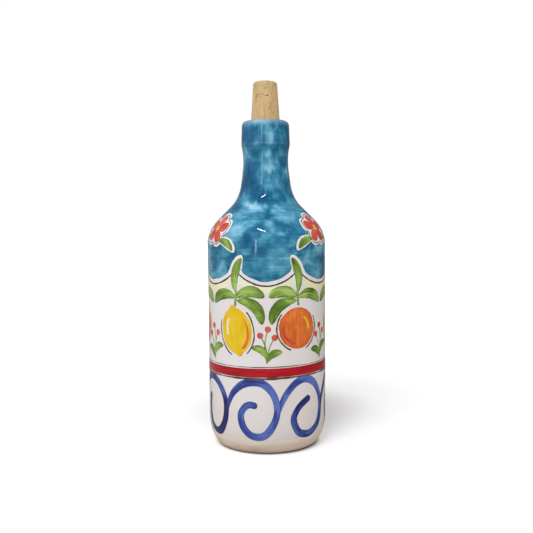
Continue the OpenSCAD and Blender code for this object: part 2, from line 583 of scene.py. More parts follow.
class Skin:
    """The outer glaze as a surface that coats and marks are laid on.

    Attributes:
        SUNK: Lift of the underside of paint, just inside the glaze.
        INSET: Mean distance of the thrown wall inside its true line.
        MOST_TURN: Largest turn of the outline between two points of a coat, in degrees.
        SPACING: Widest gap between points across a strip.
        LEAST_COUNT: Least number of points across a strip.
        LEAST_HALF: Least half width of a strip.
        END_HALF: Least half width by which a round end is rounded.
        EDGE_FALL: Share of the paint's height that is lost at a strip's edge.
        SHORT_WAVE: Shortest wave of a strip's edges.
        TONE_DRAW: Most that a mark's tone is drawn lighter or darker.
        FAR_UV: Most that a mark's streaks are drawn apart from another's, in centimetres.
    """

    SUNK = -0.05
    INSET = 0.11
    MOST_TURN = 6.0
    SPACING = 1.1
    LEAST_COUNT = 9
    LEAST_HALF = 0.03
    END_HALF = 0.1
    EDGE_FALL = 0.6
    SHORT_WAVE = 10.0
    TONE_DRAW = 0.12
    FAR_UV = 50

    def __init__(self, outline: Outline) -> None:
        """Traces the outline finely and keeps the way along it, its turning and the source of draws.

        Args:
            outline: Half section of the bottle.
        """
        self.outline = outline
        self.points, self.facing = outline.outside(fine=8)
        self.way = path_way(self.points)
        self.turning = path_way(self.facing)
        self.rng = np.random.default_rng(41)

    def way_at(self, height: Union[float, np.ndarray]) -> np.ndarray:
        """Way along the outline at a height."""
        return np.interp(height, self.points[:, 1], self.way)

    def radius_at(self, way: np.ndarray) -> np.ndarray:
        """Radius of the glaze at a way along the outline."""
        return np.interp(way, self.way, self.points[:, 0])

    def columns(self, start: float, step: float) -> np.ndarray:
        """Ways from a start to the crest, closer together where the outline bends.

        Each gap has an equal share of the length in steps plus the turning in largest turns.

        Args:
            start: First way, which is left out.
            step: Longest gap, in millimetres.

        Returns:
            The ways, in order.
        """
        need = self.way / step + self.turning / np.radians(self.MOST_TURN)
        first = np.interp(start, self.way, need)
        count = int(np.ceil(need[-1] - first))
        return np.interp(np.linspace(first, need[-1], count + 1)[1:], need, self.way)

    def sway(self, angle: np.ndarray, way: np.ndarray) -> np.ndarray:
        """How far the thrown wall lies inside its true line, never above 0.

        Two slow waves run round the bottle, the second of which drifts up it, and faint rings of the wheel
        run up the shoulder and neck.

        Args:
            angle: Angles from the front, in radians.
            way: Ways along the outline.

        Returns:
            Lift of the wall at each point.
        """
        slow = 0.05 * np.sin(2 * angle + 0.5) + 0.03 * np.sin(3 * angle + way / 31)
        rings = 0.002 * np.sin(way / 1.9 + 1.4 * np.sin(angle + way / 40))
        return slow + rings * np.clip((way - 120) / 30, 0, 1) - self.INSET

    def at(self, angle: np.ndarray, way: np.ndarray, lift: np.ndarray) -> np.ndarray:
        """Points at angles from the front, ways up the outline and lifts along its facing.

        Args:
            angle: Angles round the axis in radians, to the right from the front.
            way: Ways along the outline.
            lift: Heights above the glaze.

        Returns:
            Points in millimetres, in the shape of the three arrays together.
        """
        angle, way, lift = np.broadcast_arrays(angle, way, lift)
        radius, height = (np.interp(way, self.way, column) for column in self.points.T)
        out, up = (np.interp(way, self.way, column) for column in self.facing.T)
        off = lift + self.sway(angle, way)
        return wrapped(angle, radius + off * out, height + off * up)

    def coat(self, ways: np.ndarray, top: np.ndarray, under: float,
             tags: Optional[dict[str, np.ndarray]] = None) -> Patch:
        """Closed shell round the bottle: up its outside at the top lifts and down its coarser underside.

        Args:
            ways: Ways along the outline, angles by points.
            top: Lift at each point.
            under: Lift of the underside.
            tags: Named values at each point.

        Returns:
            The patch.
        """
        angle = circle(len(ways))[:, None]
        back = np.linspace(ways.shape[1] - 1, 0, ways.shape[1] // 6).astype(int)
        points = np.hstack([self.at(angle, ways, top), self.at(angle, ways[:, back], under)])
        closed = {name: np.hstack([value, value[:, back]]) for name, value in (tags or {}).items()}
        return Patch(points, tags=closed)

    def section(self, count: int, lift: float) -> tuple[np.ndarray, np.ndarray]:
        """Cross section of a strip of paint: over its crown and back along an underside in the glaze.

        The crown is full but for its edges: its height falls by a share of the sixth power of the place
        across.

        Args:
            count: Number of points over the crown.
            lift: Height of the paint.

        Returns:
            Places across from -1 to 1, and the lift at each.
        """
        ring = np.linspace(-1, 1, count)[np.r_[0:count, count - 2:0:-1]]
        crown = lift * (1 - self.EDGE_FALL * np.abs(ring) ** 6)
        return ring, np.where(np.arange(len(ring)) < count, crown, self.SUNK)

    def strip(self, mark: Mark, place: Place) -> Patch:
        """Raised strip of paint along a mark's path.

        A sample's half width is the mark's half width times its brush's share. A round end is rounded by
        the distance that is left to it, and both edges waver.

        Args:
            mark: The brush mark.
            place: Where it lies.

        Returns:
            The patch, with one row for each sample of the path.
        """
        path = eased(np.asarray(mark.path, dtype=float), mark.steps)
        way = path_way(path)
        part = way / way[-1]
        half = spread(mark.half, part) * mark.brush.width(part)
        if mark.brush is Brush.ROUND:
            end = np.clip(np.minimum(way, way[-1] - way) / np.maximum(half, self.END_HALF), 0, 1)
            half = half * np.sqrt(1 - (1 - end) ** 2)
        half = np.maximum(half, self.LEAST_HALF)
        count = int(max(self.LEAST_COUNT, np.ceil(2 * half.max() / self.SPACING) // 2 * 2 + 1))
        ring, lift = self.section(count, mark.lift)
        wave = max(self.SHORT_WAVE, way[-1] / 2)
        left, right = (1 + mark.ragged * shaken(way, wave, self.rng) for _ in range(2))
        reach = np.where(ring < 0, left[:, None], right[:, None]) * half[:, None] * ring
        along = np.gradient(path, way, axis=0)
        along /= np.linalg.norm(along, axis=1, keepdims=True)
        side = np.stack([-along[:, 1], along[:, 0]], axis=1)
        flat = path[:, None, :] + side[:, None, :] * reach[..., None]
        shift = self.rng.uniform(0, self.FAR_UV, 2)
        tone = spread(mark.tone, part) + self.rng.uniform(-self.TONE_DRAW, self.TONE_DRAW)
        uv = np.stack(np.broadcast_arrays(way[:, None] / CM + shift[0], reach / CM + shift[1]), axis=-1)
        tags = {"edge": np.abs(ring), "part": part[:, None], "tone": tone[:, None]}
        tags = {name: np.broadcast_to(value, reach.shape) for name, value in tags.items()}
        return Patch(self.laid(flat, lift, place), uv, tags, joined_rows=False)

    def laid(self, flat: np.ndarray, lift: np.ndarray, place: Place) -> np.ndarray:
        """Points of a flat drawing on the bottle: mirrored, turned, and wrapped by the radius there.

        Args:
            flat: Points to the right and up from the drawing's own origin.
            lift: Heights above the glaze.
            place: Where the drawing's origin lies.

        Returns:
            Points in millimetres.
        """
        cos, sin = np.cos(np.radians(place.turn)), np.sin(np.radians(place.turn))
        right = flat[..., 0] * place.mirror
        way = place.way + right * sin + flat[..., 1] * cos
        angle = np.radians(place.angle) + (right * cos - flat[..., 1] * sin) / self.radius_at(way)
        return self.at(angle, way, lift)

    def hoop(self, middle: np.ndarray, half: np.ndarray, lift: float) -> Patch:
        """Painted line round the bottle: a strip whose height and half width change with the angle.

        Args:
            middle: Way of its middle at each angle.
            half: Half width at each angle.
            lift: Height of the paint.

        Returns:
            The patch.
        """
        ring, lifts = self.section(self.LEAST_COUNT, lift)
        way = middle[:, None] + half[:, None] * ring
        points = self.at(circle(len(middle))[:, None], way, lifts)
        return Patch(points, tags={"edge": np.broadcast_to(np.abs(ring), way.shape)})

    def paint(self, places: Sequence[Place], *layers: tuple[str, Sequence[Mark], "Finish"]) -> None:
        """Makes one piece of each layer of marks, repeated at all places.

        Args:
            places: Where the drawing lies.
            layers: Name of each piece, its marks and its finish.
        """
        for name, marks, finish in layers:
            piece(name, [self.strip(mark, place) for place in places for mark in marks], finish)


class Value:
    """A shader socket in Python expressions: each operator adds one Math node."""

    def __init__(self, shader: "Shader", socket: bpy.types.NodeSocket) -> None:
        """Wraps a socket of a shader's tree."""
        self.shader = shader
        self.socket = socket

    def _math(self, operation: str, first: "Number", second: "Number" = 0.0) -> "Value":
        """Result of a Math node on two numbers or sockets."""
        return self.shader.value(0, "ShaderNodeMath", {"operation": operation}, {0: first, 1: second})

    def __add__(self, other: "Number") -> "Value":
        """Sum."""
        return self._math("ADD", self, other)

    __radd__ = __add__

    def __sub__(self, other: "Number") -> "Value":
        """Difference."""
        return self._math("SUBTRACT", self, other)

    def __rsub__(self, other: "Number") -> "Value":
        """Difference with this value taken away."""
        return self._math("SUBTRACT", other, self)

    def __mul__(self, other: "Number") -> "Value":
        """Product."""
        return self._math("MULTIPLY", self, other)

    __rmul__ = __mul__

    def __pow__(self, other: "Number") -> "Value":
        """Power."""
        return self._math("POWER", self, other)

    def __abs__(self) -> "Value":
        """Value without its sign."""
        return self._math("ABSOLUTE", self)

    def rise(self, low: float, high: float) -> "Value":
        """Smooth step from 0 at one value to 1 at another.

        Args:
            low: Value up to which the step is 0.
            high: Value from which it is 1; where it lies below low, the step falls.

        Returns:
            The step.
        """
        return self.shader.value("Result", "ShaderNodeMapRange", {"interpolation_type": "SMOOTHSTEP"},
                                 {"Value": self, "From Min": min(low, high), "From Max": max(low, high),
                                  "To Min": float(low > high), "To Max": float(low <= high)})


Number = Union[float, int, Value]


def linear(colour: Colour) -> tuple[float, float, float, float]:
    """Linear colour of an sRGB one: a share of it near black, a power of 2.4 above.

    Args:
        colour: Red, green and blue from 0 to 255.

    Returns:
        Red, green and blue from 0 to 1, and an alpha of 1.
    """
    share = np.array(colour) / 255
    value = np.where(share <= 0.04045, share / 12.92, ((share + 0.055) / 1.055) ** 2.4)
    return (*value.tolist(), 1.0)


class Shader:
    """Node tree of one finish."""

    def __init__(self, tree: bpy.types.NodeTree) -> None:
        """Starts from an empty tree."""
        self.tree = tree
        tree.nodes.clear()

    def node(self, kind: str, settings: Settings = None, sockets: Sockets = None) -> bpy.types.Node:
        """Adds one node: settings first, then the values or links of its sockets.

        Args:
            kind: Type of the node.
            settings: Its properties; "stops" gives a ramp's places and colours.
            sockets: Numbers, colours or links, by the socket's identifier, name or number.

        Returns:
            The node.
        """
        made = self.tree.nodes.new(kind)
        for key, value in (settings or {}).items():
            if key == "stops":
                ramp = made.color_ramp.elements
                while len(ramp) < len(value):
                    ramp.new(1.0)
                for stop, (place, colour) in zip(ramp, value):
                    stop.position = place
                    stop.color = linear(colour)
            else:
                setattr(made, key, value)
        for key, value in (sockets or {}).items():
            if isinstance(key, int):
                socket = made.inputs[key]
            else:
                socket = next(each for each in made.inputs if key in (each.identifier, each.name))
            if isinstance(value, Value):
                self.tree.links.new(value.socket, socket)
            else:
                socket.default_value = value
        return made

    def value(self, output: Union[str, int], kind: str, settings: Settings = None,
              sockets: Sockets = None) -> Value:
        """One output, by its name or number, of a node that is made as node says."""
        return Value(self, self.node(kind, settings, sockets).outputs[output])

    def stretched(self, place: Value, stretch: Triple) -> Value:
        """Coordinates stretched along each axis."""
        return self.value("Vector", "ShaderNodeMapping", {}, {"Vector": place, "Scale": stretch})

    def place(self, stretch: Triple = (1, 1, 1)) -> Value:
        """Object coordinates in metres, stretched along each axis."""
        return self.stretched(self.value("Object", "ShaderNodeTexCoord"), stretch)

    def brush(self, stretch: Triple) -> Value:
        """Centimetres along and across a brush mark, stretched along each."""
        return self.stretched(self.value("UV", "ShaderNodeUVMap", {"uv_map": "brush"}), stretch)

    def reach(self, direction: Triple) -> Value:
        """Reach of a point along a direction, in metres."""
        return self.value("Value", "ShaderNodeVectorMath", {"operation": "DOT_PRODUCT"},
                          {0: self.place(), 1: direction})

    def away(self, centre: Triple) -> Value:
        """Distance from a point, in metres."""
        return self.value("Value", "ShaderNodeVectorMath", {"operation": "DISTANCE"},
                          {0: self.place(), 1: centre})

    def height(self) -> Value:
        """Height above the table, in metres."""
        return self.reach((0, 0, 1))

    def tag(self, name: str) -> Value:
        """Named value that a mesh carries."""
        return self.value("Fac", "ShaderNodeAttribute", {"attribute_name": name})

    def noise(self, stretch: Union[Triple, Value], scale: float, detail: float = 2.0, distortion: float = 0.0,
              roughness: float = 0.5) -> Value:
        """Soft noise, mostly from 0.3 to 0.7.

        Args:
            stretch: Stretch of the Object coordinates along each axis, or other coordinates.
            scale: Number of its clouds along a unit.
            detail: Number of finer noises added.
            distortion: How far the coordinates are stirred.
            roughness: Strength of each finer noise beside the one before.

        Returns:
            The noise.
        """
        place = stretch if isinstance(stretch, Value) else self.place(stretch)
        return self.value("Fac", "ShaderNodeTexNoise", {}, {
            "Vector": place, "Scale": scale, "Detail": detail, "Distortion": distortion,
            "Roughness": roughness})

    def ramp(self, value: Value, stops: Sequence[tuple[float, Colour]]) -> Value:
        """Colour at a value between stops."""
        return self.value("Color", "ShaderNodeValToRGB", {"stops": list(stops)}, {"Fac": value})

    def mix(self, share: Number, first: Union[Value, Colour], second: Union[Value, Colour]) -> Value:
        """Blend of two colours.

        Args:
            share: Share of the second, from 0 to 1.
            first: Colour at a share of 0.
            second: Colour at a share of 1.

        Returns:
            The blend.
        """
        ends = [end if isinstance(end, Value) else linear(end) for end in (first, second)]
        return self.value(2, "ShaderNodeMix", {"data_type": "RGBA", "clamp_factor": True},
                          {"Factor_Float": share, "A_Color": ends[0], "B_Color": ends[1]})

    def bump(self, height: Value, depth: float) -> Value:
        """Normal of a surface raised by a height from 0 to 1 times a depth in metres."""
        return self.value("Normal", "ShaderNodeBump", {},
                          {"Height": height, "Distance": depth, "Strength": 1.0})

    def surface(self, **sockets: object) -> None:
        """Ends the tree in a Principled shader; names have underscores for blanks."""
        named = {key.replace("_", " "): value for key, value in sockets.items()}
        self.node("ShaderNodeOutputMaterial", {},
                  {"Surface": self.value("BSDF", "ShaderNodeBsdfPrincipled", {}, named)})


@dataclass(frozen=True)
class Finish:
    """A named finish, made once and shared by the pieces that have it.

    Attributes:
        name: Name of the material.
        slot: Name of its material slot, which is only logged; None for what isn't part of the object.
    """

    name: str
    slot: Optional[str]

    def material(self) -> bpy.types.Material:
        """Material of this finish, made at its first use.

        Returns:
            The material.
        """
        found = bpy.data.materials.get(self.name)
        if found is None:
            found = bpy.data.materials.new(self.name)
            found.use_nodes = True
            self.dress(Shader(found.node_tree))
        return found

    def dress(self, shader: Shader) -> None:
        """Fills the node tree."""
        raise NotImplementedError


@dataclass(frozen=True)
class WhiteGlaze(Finish):
    """Tin-white glaze, a little uneven, that thins out to the clay between two heights above the foot."""

    body: Colour = (224, 221, 223)
    warm: Colour = (222, 215, 212)
    # painted shade: warmer, darker white for the lower wall near the table
    low: Colour = (216, 209, 206)
    clay: Colour = (234, 218, 204)
    speck: Colour = (176, 158, 140)
    thin_z: Pair = (0.0148, 0.005)
    thin_waver: float = 0.004
    low_z: Pair = (0.048, 0.018)
    gloss: float = 0.11
    ripple: float = 0.00012

    def dress(self, shader: Shader) -> None:
        """Cloudy white with sparse specks and painted shade low down; it turns to duller clay by height.

        Args:
            shader: Tree to fill.
        """
        height = shader.height()
        cloud = shader.noise((1, 1, 0.6), 34, 3.0, 0.4)
        fleck = shader.noise((1, 1, 1), 1150, 1.0)
        edge = shader.noise((1, 1, 0.5), 90)
        ripple = shader.noise((1, 1, 1.6), 120)
        bare = (height + (edge - 0.5) * self.thin_waver).rise(*self.thin_z)
        base = shader.mix(cloud.rise(0.45, 0.72) * 0.7, self.body, self.warm)
        # painted shade: below 48 mm, and most below 18 mm, the white turns warmer and darker
        base = shader.mix(height.rise(*self.low_z) * 0.6, base, self.low)
        base = shader.mix(fleck.rise(0.76, 0.84) * 0.35, base, self.speck)
        base = shader.mix(bare, base, self.clay)
        shader.surface(Base_Color=base, Roughness=bare * 0.4 + self.gloss + (cloud - 0.5) * 0.05,
                       Normal=shader.bump(ripple, self.ripple), IOR=GLAZE_IOR)


@dataclass(frozen=True)
class BareClay(Finish):
    """Unglazed earthenware of the foot ring, with a fine sandy grain."""

    body: Colour = (230, 212, 196)
    pale: Colour = (233, 218, 205)
    dark: Colour = (214, 193, 174)
    gloss: float = 0.68
    grain: float = 0.00018

    def dress(self, shader: Shader) -> None:
        """Sandy grain over slow patches, matt.

        Args:
            shader: Tree to fill.
        """
        patch = shader.noise((1, 1, 2.5), 60, 4.0, 0.5)
        grain = shader.noise((1, 1, 1), 1500, 3.0, 0.0, 0.7)
        base = shader.ramp(patch, [(0.3, self.dark), (0.5, self.body), (0.68, self.pale)])
        base = shader.mix(grain.rise(0.62, 0.75) * 0.4, base, self.dark)
        shader.surface(Base_Color=base, Roughness=patch * 0.2 + self.gloss,
                       Normal=shader.bump(grain, self.grain))


@dataclass(frozen=True)
class LiningGlaze(Finish):
    """Plain white glaze inside the bottle."""

    body: Colour = (228, 226, 220)
    warm: Colour = (212, 203, 190)
    gloss: float = 0.1
    ripple: float = 0.0002

    def dress(self, shader: Shader) -> None:
        """Cream clouds in white, glossy.

        Args:
            shader: Tree to fill.
        """
        cloud = shader.noise((1, 1, 0.4), 45, 3.0, 0.5)
        shader.surface(Base_Color=shader.mix(cloud.rise(0.4, 0.7), self.body, self.warm),
                       Roughness=cloud * 0.2 + self.gloss, Normal=shader.bump(cloud, self.ripple),
                       IOR=GLAZE_IOR)


@dataclass(frozen=True)
class BlueWash(Finish):
    """Watery blue, brushed up the neck and wiped round the shoulder, that breaks pale over edges.

    Each pair gives the heights or distances between which a change runs: from level strokes to upright ones,
    from smooth to rippled, to the lip's colour by the drop from the lip, and to pale beside the ridge.
    """

    ridge_z: float
    lip_z: float
    deep: Colour = (12, 76, 116)
    dark: Colour = (32, 104, 140)
    middle: Colour = (67, 140, 170)
    light: Colour = (122, 180, 206)
    wisp: Colour = (172, 206, 222)
    pale: Colour = (160, 180, 188)
    rim: Colour = (152, 190, 208)
    neck_z: Pair = (0.158, 0.178)
    rough_z: Pair = (0.178, 0.192)
    lip_drop: Pair = (0.0052, 0.0004)
    bead: Pair = (0.0012, 0.0001)
    bead_waver: float = 0.0016
    gloss: float = 0.03
    ripple: float = 0.00005

    def dress(self, shader: Shader) -> None:
        """The mesh's dabs and noises of falling size set the depth; the ridge and the lip's edge are paler.

        Args:
            shader: Tree to fill.
        """
        height = shader.height()
        neck = height.rise(*self.neck_z)
        pool = shader.noise((1, 1, 0.8), 62, 2.0, 0.5)
        upward = shader.noise((1, 1, 0.4), 150, 2.0, 0.4)
        level = shader.noise((0.8, 0.8, 1.5), 95, 2.0, 0.5)
        grain = shader.noise((1, 1, 2.0), 270, 4.0, 0.5, 0.6)
        comb = shader.noise((0.2, 0.2, 4.5), 210, 2.0, 0.3)
        stroke = upward * neck + level * (1 - neck)
        touch = shader.tag("wash") * (stroke * 2.4 - 0.2)
        depth = touch * 0.22 + pool * 0.24 + pool.rise(0.36, 0.64) * 0.16 + stroke * 0.42 + grain * 0.22
        depth = depth + (comb - 0.5) * (1 - neck) * 0.18 - neck * 0.03
        base = shader.ramp(depth, [(0.29, self.deep), (0.43, self.dark), (0.56, self.middle),
                                   (0.72, self.light), (0.9, self.wisp)])
        bead = abs(height + (pool - 0.5) * self.bead_waver - self.ridge_z).rise(*self.bead)
        ridge = bead * (pool.rise(0.45, 0.62) * 0.85 + 0.15)
        lip = height.rise(*(self.lip_z - drop for drop in self.lip_drop))
        base = shader.mix(ridge * 0.5, base, self.pale)
        base = shader.mix(lip * (pool.rise(0.34, 0.66) * 0.5 + 0.42), base, self.rim)
        shader.surface(Base_Color=base, Roughness=grain * 0.016 + self.gloss, IOR=GLAZE_IOR,
                       Normal=shader.bump(grain * height.rise(*self.rough_z), self.ripple))


@dataclass(frozen=True)
class Paint(Finish):
    """Glossy painted colour that runs from deep to pale, with the hair lines of a brush in it."""

    deep: Colour
    body: Colour
    pale: Colour

    GLOSS = 0.12
    HAIR = 0.00008

    def lay(self, shader: Shader, depth: Value, hair: Value) -> None:
        """Ends the tree: the depth sets the colour, and the hair lines set gloss and relief.

        Args:
            shader: Tree to fill.
            depth: Thickness of the colour, palest near one.
            hair: Fine lines of the brush.
        """
        base = shader.ramp(depth, [(0.1, self.deep), (0.5, self.body), (0.95, self.pale)])
        shader.surface(Base_Color=base, Roughness=hair * 0.1 + self.GLOSS, IOR=GLAZE_IOR,
                       Normal=shader.bump(hair, self.HAIR))


@dataclass(frozen=True)
class BrushPaint(Paint):
    """Painted colour with the streaks of a brush along it, darker where it gathers at edges and ends."""

    streak: float
    gather: float

    def dress(self, shader: Shader) -> None:
        """Depth from streaks along the mark, the mark's own tone, and its edges and ends.

        Args:
            shader: Tree to fill.
        """
        hair = shader.noise(shader.brush((0.8, 9.0, 1.0)), 1.0, 3.0, 0.2)
        load = shader.noise(shader.brush((0.7, 1.2, 1.0)), 1.0, 2.0, 0.5)
        ends = abs(shader.tag("part") * 2 - 1) ** 6
        depth = (hair - 0.5) * self.streak + (load - 0.5) * (1.5 * self.streak) + shader.tag("tone") + 0.5
        depth = depth - (shader.tag("edge") ** 4) * self.gather - ends * self.gather
        self.lay(shader, depth, hair)


@dataclass(frozen=True)
class HoopPaint(Paint):
    """Painted colour of a line drawn on the wheel, with streaks that run round the bottle."""

    def dress(self, shader: Shader) -> None:
        """Depth from noise that is long round the bottle and short up it, and from the edges.

        Args:
            shader: Tree to fill.
        """
        hair = shader.noise((1, 1, 14), 55, 3.0)
        load = shader.noise((1, 1, 2), 40)
        depth = (hair - 0.5) * 1.1 + (load - 0.5) * 1.4 + 0.55 - (shader.tag("edge") ** 5) * 0.3
        self.lay(shader, depth, hair)


@dataclass(frozen=True)
class CorkGrain(Finish):
    """Natural cork: warm tan cells, growth lines up it, and dark crumbly pores."""

    body: Colour = (192, 164, 116)
    pale: Colour = (206, 180, 134)
    dark: Colour = (168, 138, 94)
    pore: Colour = (92, 64, 40)
    gloss: float = 0.66
    relief: float = 0.0003

    def dress(self, shader: Shader) -> None:
        """Fine cells over growth lines; the mesh's pit values turn the colour to the pores'.

        Args:
            shader: Tree to fill.
        """
        cell = shader.noise((1, 1, 1), 900, 3.0, 0.0, 0.65)
        growth = shader.noise((5.0, 1.0, 0.35), 150, 3.0, 0.6)
        patch = shader.noise((1, 1, 0.6), 130, 2.0, 0.5)
        depth = (cell * 0.44 + growth * 0.2 + patch * 0.36).rise(0.36, 0.64)
        base = shader.ramp(depth, [(0.0, self.dark), (0.45, self.body), (1.0, self.pale)])
        base = shader.mix((shader.tag("pit") + (cell - 0.5) * 0.9).rise(0.18, 0.7), base, self.pore)
        shader.surface(Base_Color=base, Roughness=cell * 0.25 + self.gloss,
                       Normal=shader.bump(cell, self.relief))


WHITE = WhiteGlaze("tin_white", "white_glaze")
CLAY = BareClay("fired_clay", "bare_clay")
LINING = LiningGlaze("inner_white", "lining_glaze")
STOPPER = CorkGrain("natural_cork", "cork")
SCROLL = BrushPaint("scroll_paint", "scroll_blue", (26, 33, 95), (52, 70, 145), (90, 113, 186), 1.25, 0.16)
LEAF = BrushPaint("leaf_paint", "leaf_green", (76, 106, 36), (116, 148, 56), (166, 194, 104), 1.3, 0.3)
LEAF_STREAK = BrushPaint("leaf_streak_paint", "leaf_green",
                         (138, 168, 78), (168, 194, 108), (192, 212, 140), 0.8, 0.2)
YELLOW = BrushPaint("lemon_paint", "yellow_paint", (214, 160, 14), (224, 188, 22), (236, 208, 60), 0.8, 0.2)
PALE_WASH = BrushPaint("pale_yellow_wash", "yellow_paint",
                       (228, 224, 172), (232, 230, 190), (232, 231, 214), 0.8, 0.0)
ORANGE = BrushPaint("orange_fruit_paint", "orange_paint",
                    (190, 82, 26), (214, 106, 40), (232, 138, 66), 0.9, 0.25)
CORAL = BrushPaint("coral_paint", "orange_paint", (180, 52, 44), (202, 84, 70), (220, 122, 100), 0.9, 0.25)
LINE = BrushPaint("brown_line", "outline_brown", (50, 34, 30), (76, 56, 48), (118, 98, 86), 0.9, 0.1)
HALO = BrushPaint("halo_white", "white_glaze",
                  (216, 215, 216), (228, 227, 227), (234, 233, 233), 0.3, 0.1)
BAND = HoopPaint("band_red", "red_paint", (138, 2, 14), (172, 6, 24), (192, 30, 44))
PINSTRIPE = HoopPaint("pinstripe_brown", "outline_brown", (50, 30, 24), (82, 57, 45), (140, 118, 102))


def spine(centre: Sequence[float], axis: Sequence[float], share: float) -> np.ndarray:
    """Middle line of a round mark: both ends of its half axis, and two points at a share of it.

    Args:
        centre: Middle of the mark.
        axis: Half axis, from the middle to the first end.
        share: Share of the half axis at which the inner points lie.

    Returns:
        Four points, one a row.
    """
    return np.asarray(centre) + np.outer([1.0, share, -share, -1.0], axis)


@dataclass
class ClayShell:
    """Fired clay bottle and the glaze inside it, with the finger rings of the wheel."""

    skin: Skin
    ring_pitch: float = 4.2
    ring_depth: float = 0.12
    plain_drop: float = 24.0
    behind: float = 0.15
    foot_gap: float = 1.0
    step: float = 2.7

    def build(self) -> None:
        """Makes the clay and the lining."""
        self.clay()
        self.lining()

    def rings(self, profile: np.ndarray) -> np.ndarray:
        """Finger rings of the wheel: a sine along the section that drifts round the bottle.

        Args:
            profile: Points of the section.

        Returns:
            Change of the radius, angles by points.
        """
        way = path_way(profile)[None, :]
        wave = np.sin(2 * np.pi * way / self.ring_pitch + circle(ROUND_STEPS)[:, None])
        return -self.ring_depth * 0.5 * (1 + wave) * off_axis(profile)

    def clay(self) -> None:
        """Turns the whole section: underside, bare foot, wall a little behind the glaze, lip and hollow."""
        shape = self.skin.outline
        outer = shape.outside(-shape.glaze_t - self.behind)[0]
        foot = shape.outside(-shape.glaze_t)[0]
        foot = foot[foot[:, 1] < shape.bare_foot_h]
        outer = np.vstack([foot, outer[outer[:, 1] > shape.bare_foot_h + self.foot_gap]])
        under = resampled(shape.underside(), self.ring_pitch / 4)
        flat = np.isclose(under[:, 1], shape.foot_hollow)
        under[flat, 1] += self.ring_depth * np.sin(2 * np.pi * under[flat, 0] / self.ring_pitch)
        wall = resampled(np.vstack([outer, shape.inside(-shape.glaze_t)]), self.step)
        piece("clay_shell", [turned(np.vstack([under, wall]), False)], CLAY, "clay_body")

    def lining(self) -> None:
        """Turns the glaze between the hollow and the clay behind it; near the lip it has no rings."""
        shape = self.skin.outline
        front = resampled(shape.inside(), self.step / 2)
        back = resampled(shape.inside(-shape.glaze_t), 2 * self.step)[::-1]
        section = np.vstack([front, back])
        sway = self.rings(section)
        sway[:, section[:, 1] > shape.lip_z - self.plain_drop] = 0
        piece("inside_glaze", [turned(section, True, sway)], LINING, "lining_glaze")


@dataclass(frozen=True)
class Dab:
    """A soft touch of the brush in the blue: angle, height, half sizes across and up, and lightness."""

    angle: float
    height: float
    wide: float
    high: float
    light: float


@dataclass(frozen=True)
class Sweep:
    """How a coat's columns run from its edge to the crest.

    Attributes:
        still_z: Height up to which the columns follow the edge.
        count: Number of columns up to there.
        power: Power of equal parts that crowds them at the edge.
        step: Longest gap above.
    """

    still_z: float
    count: int
    power: float
    step: float


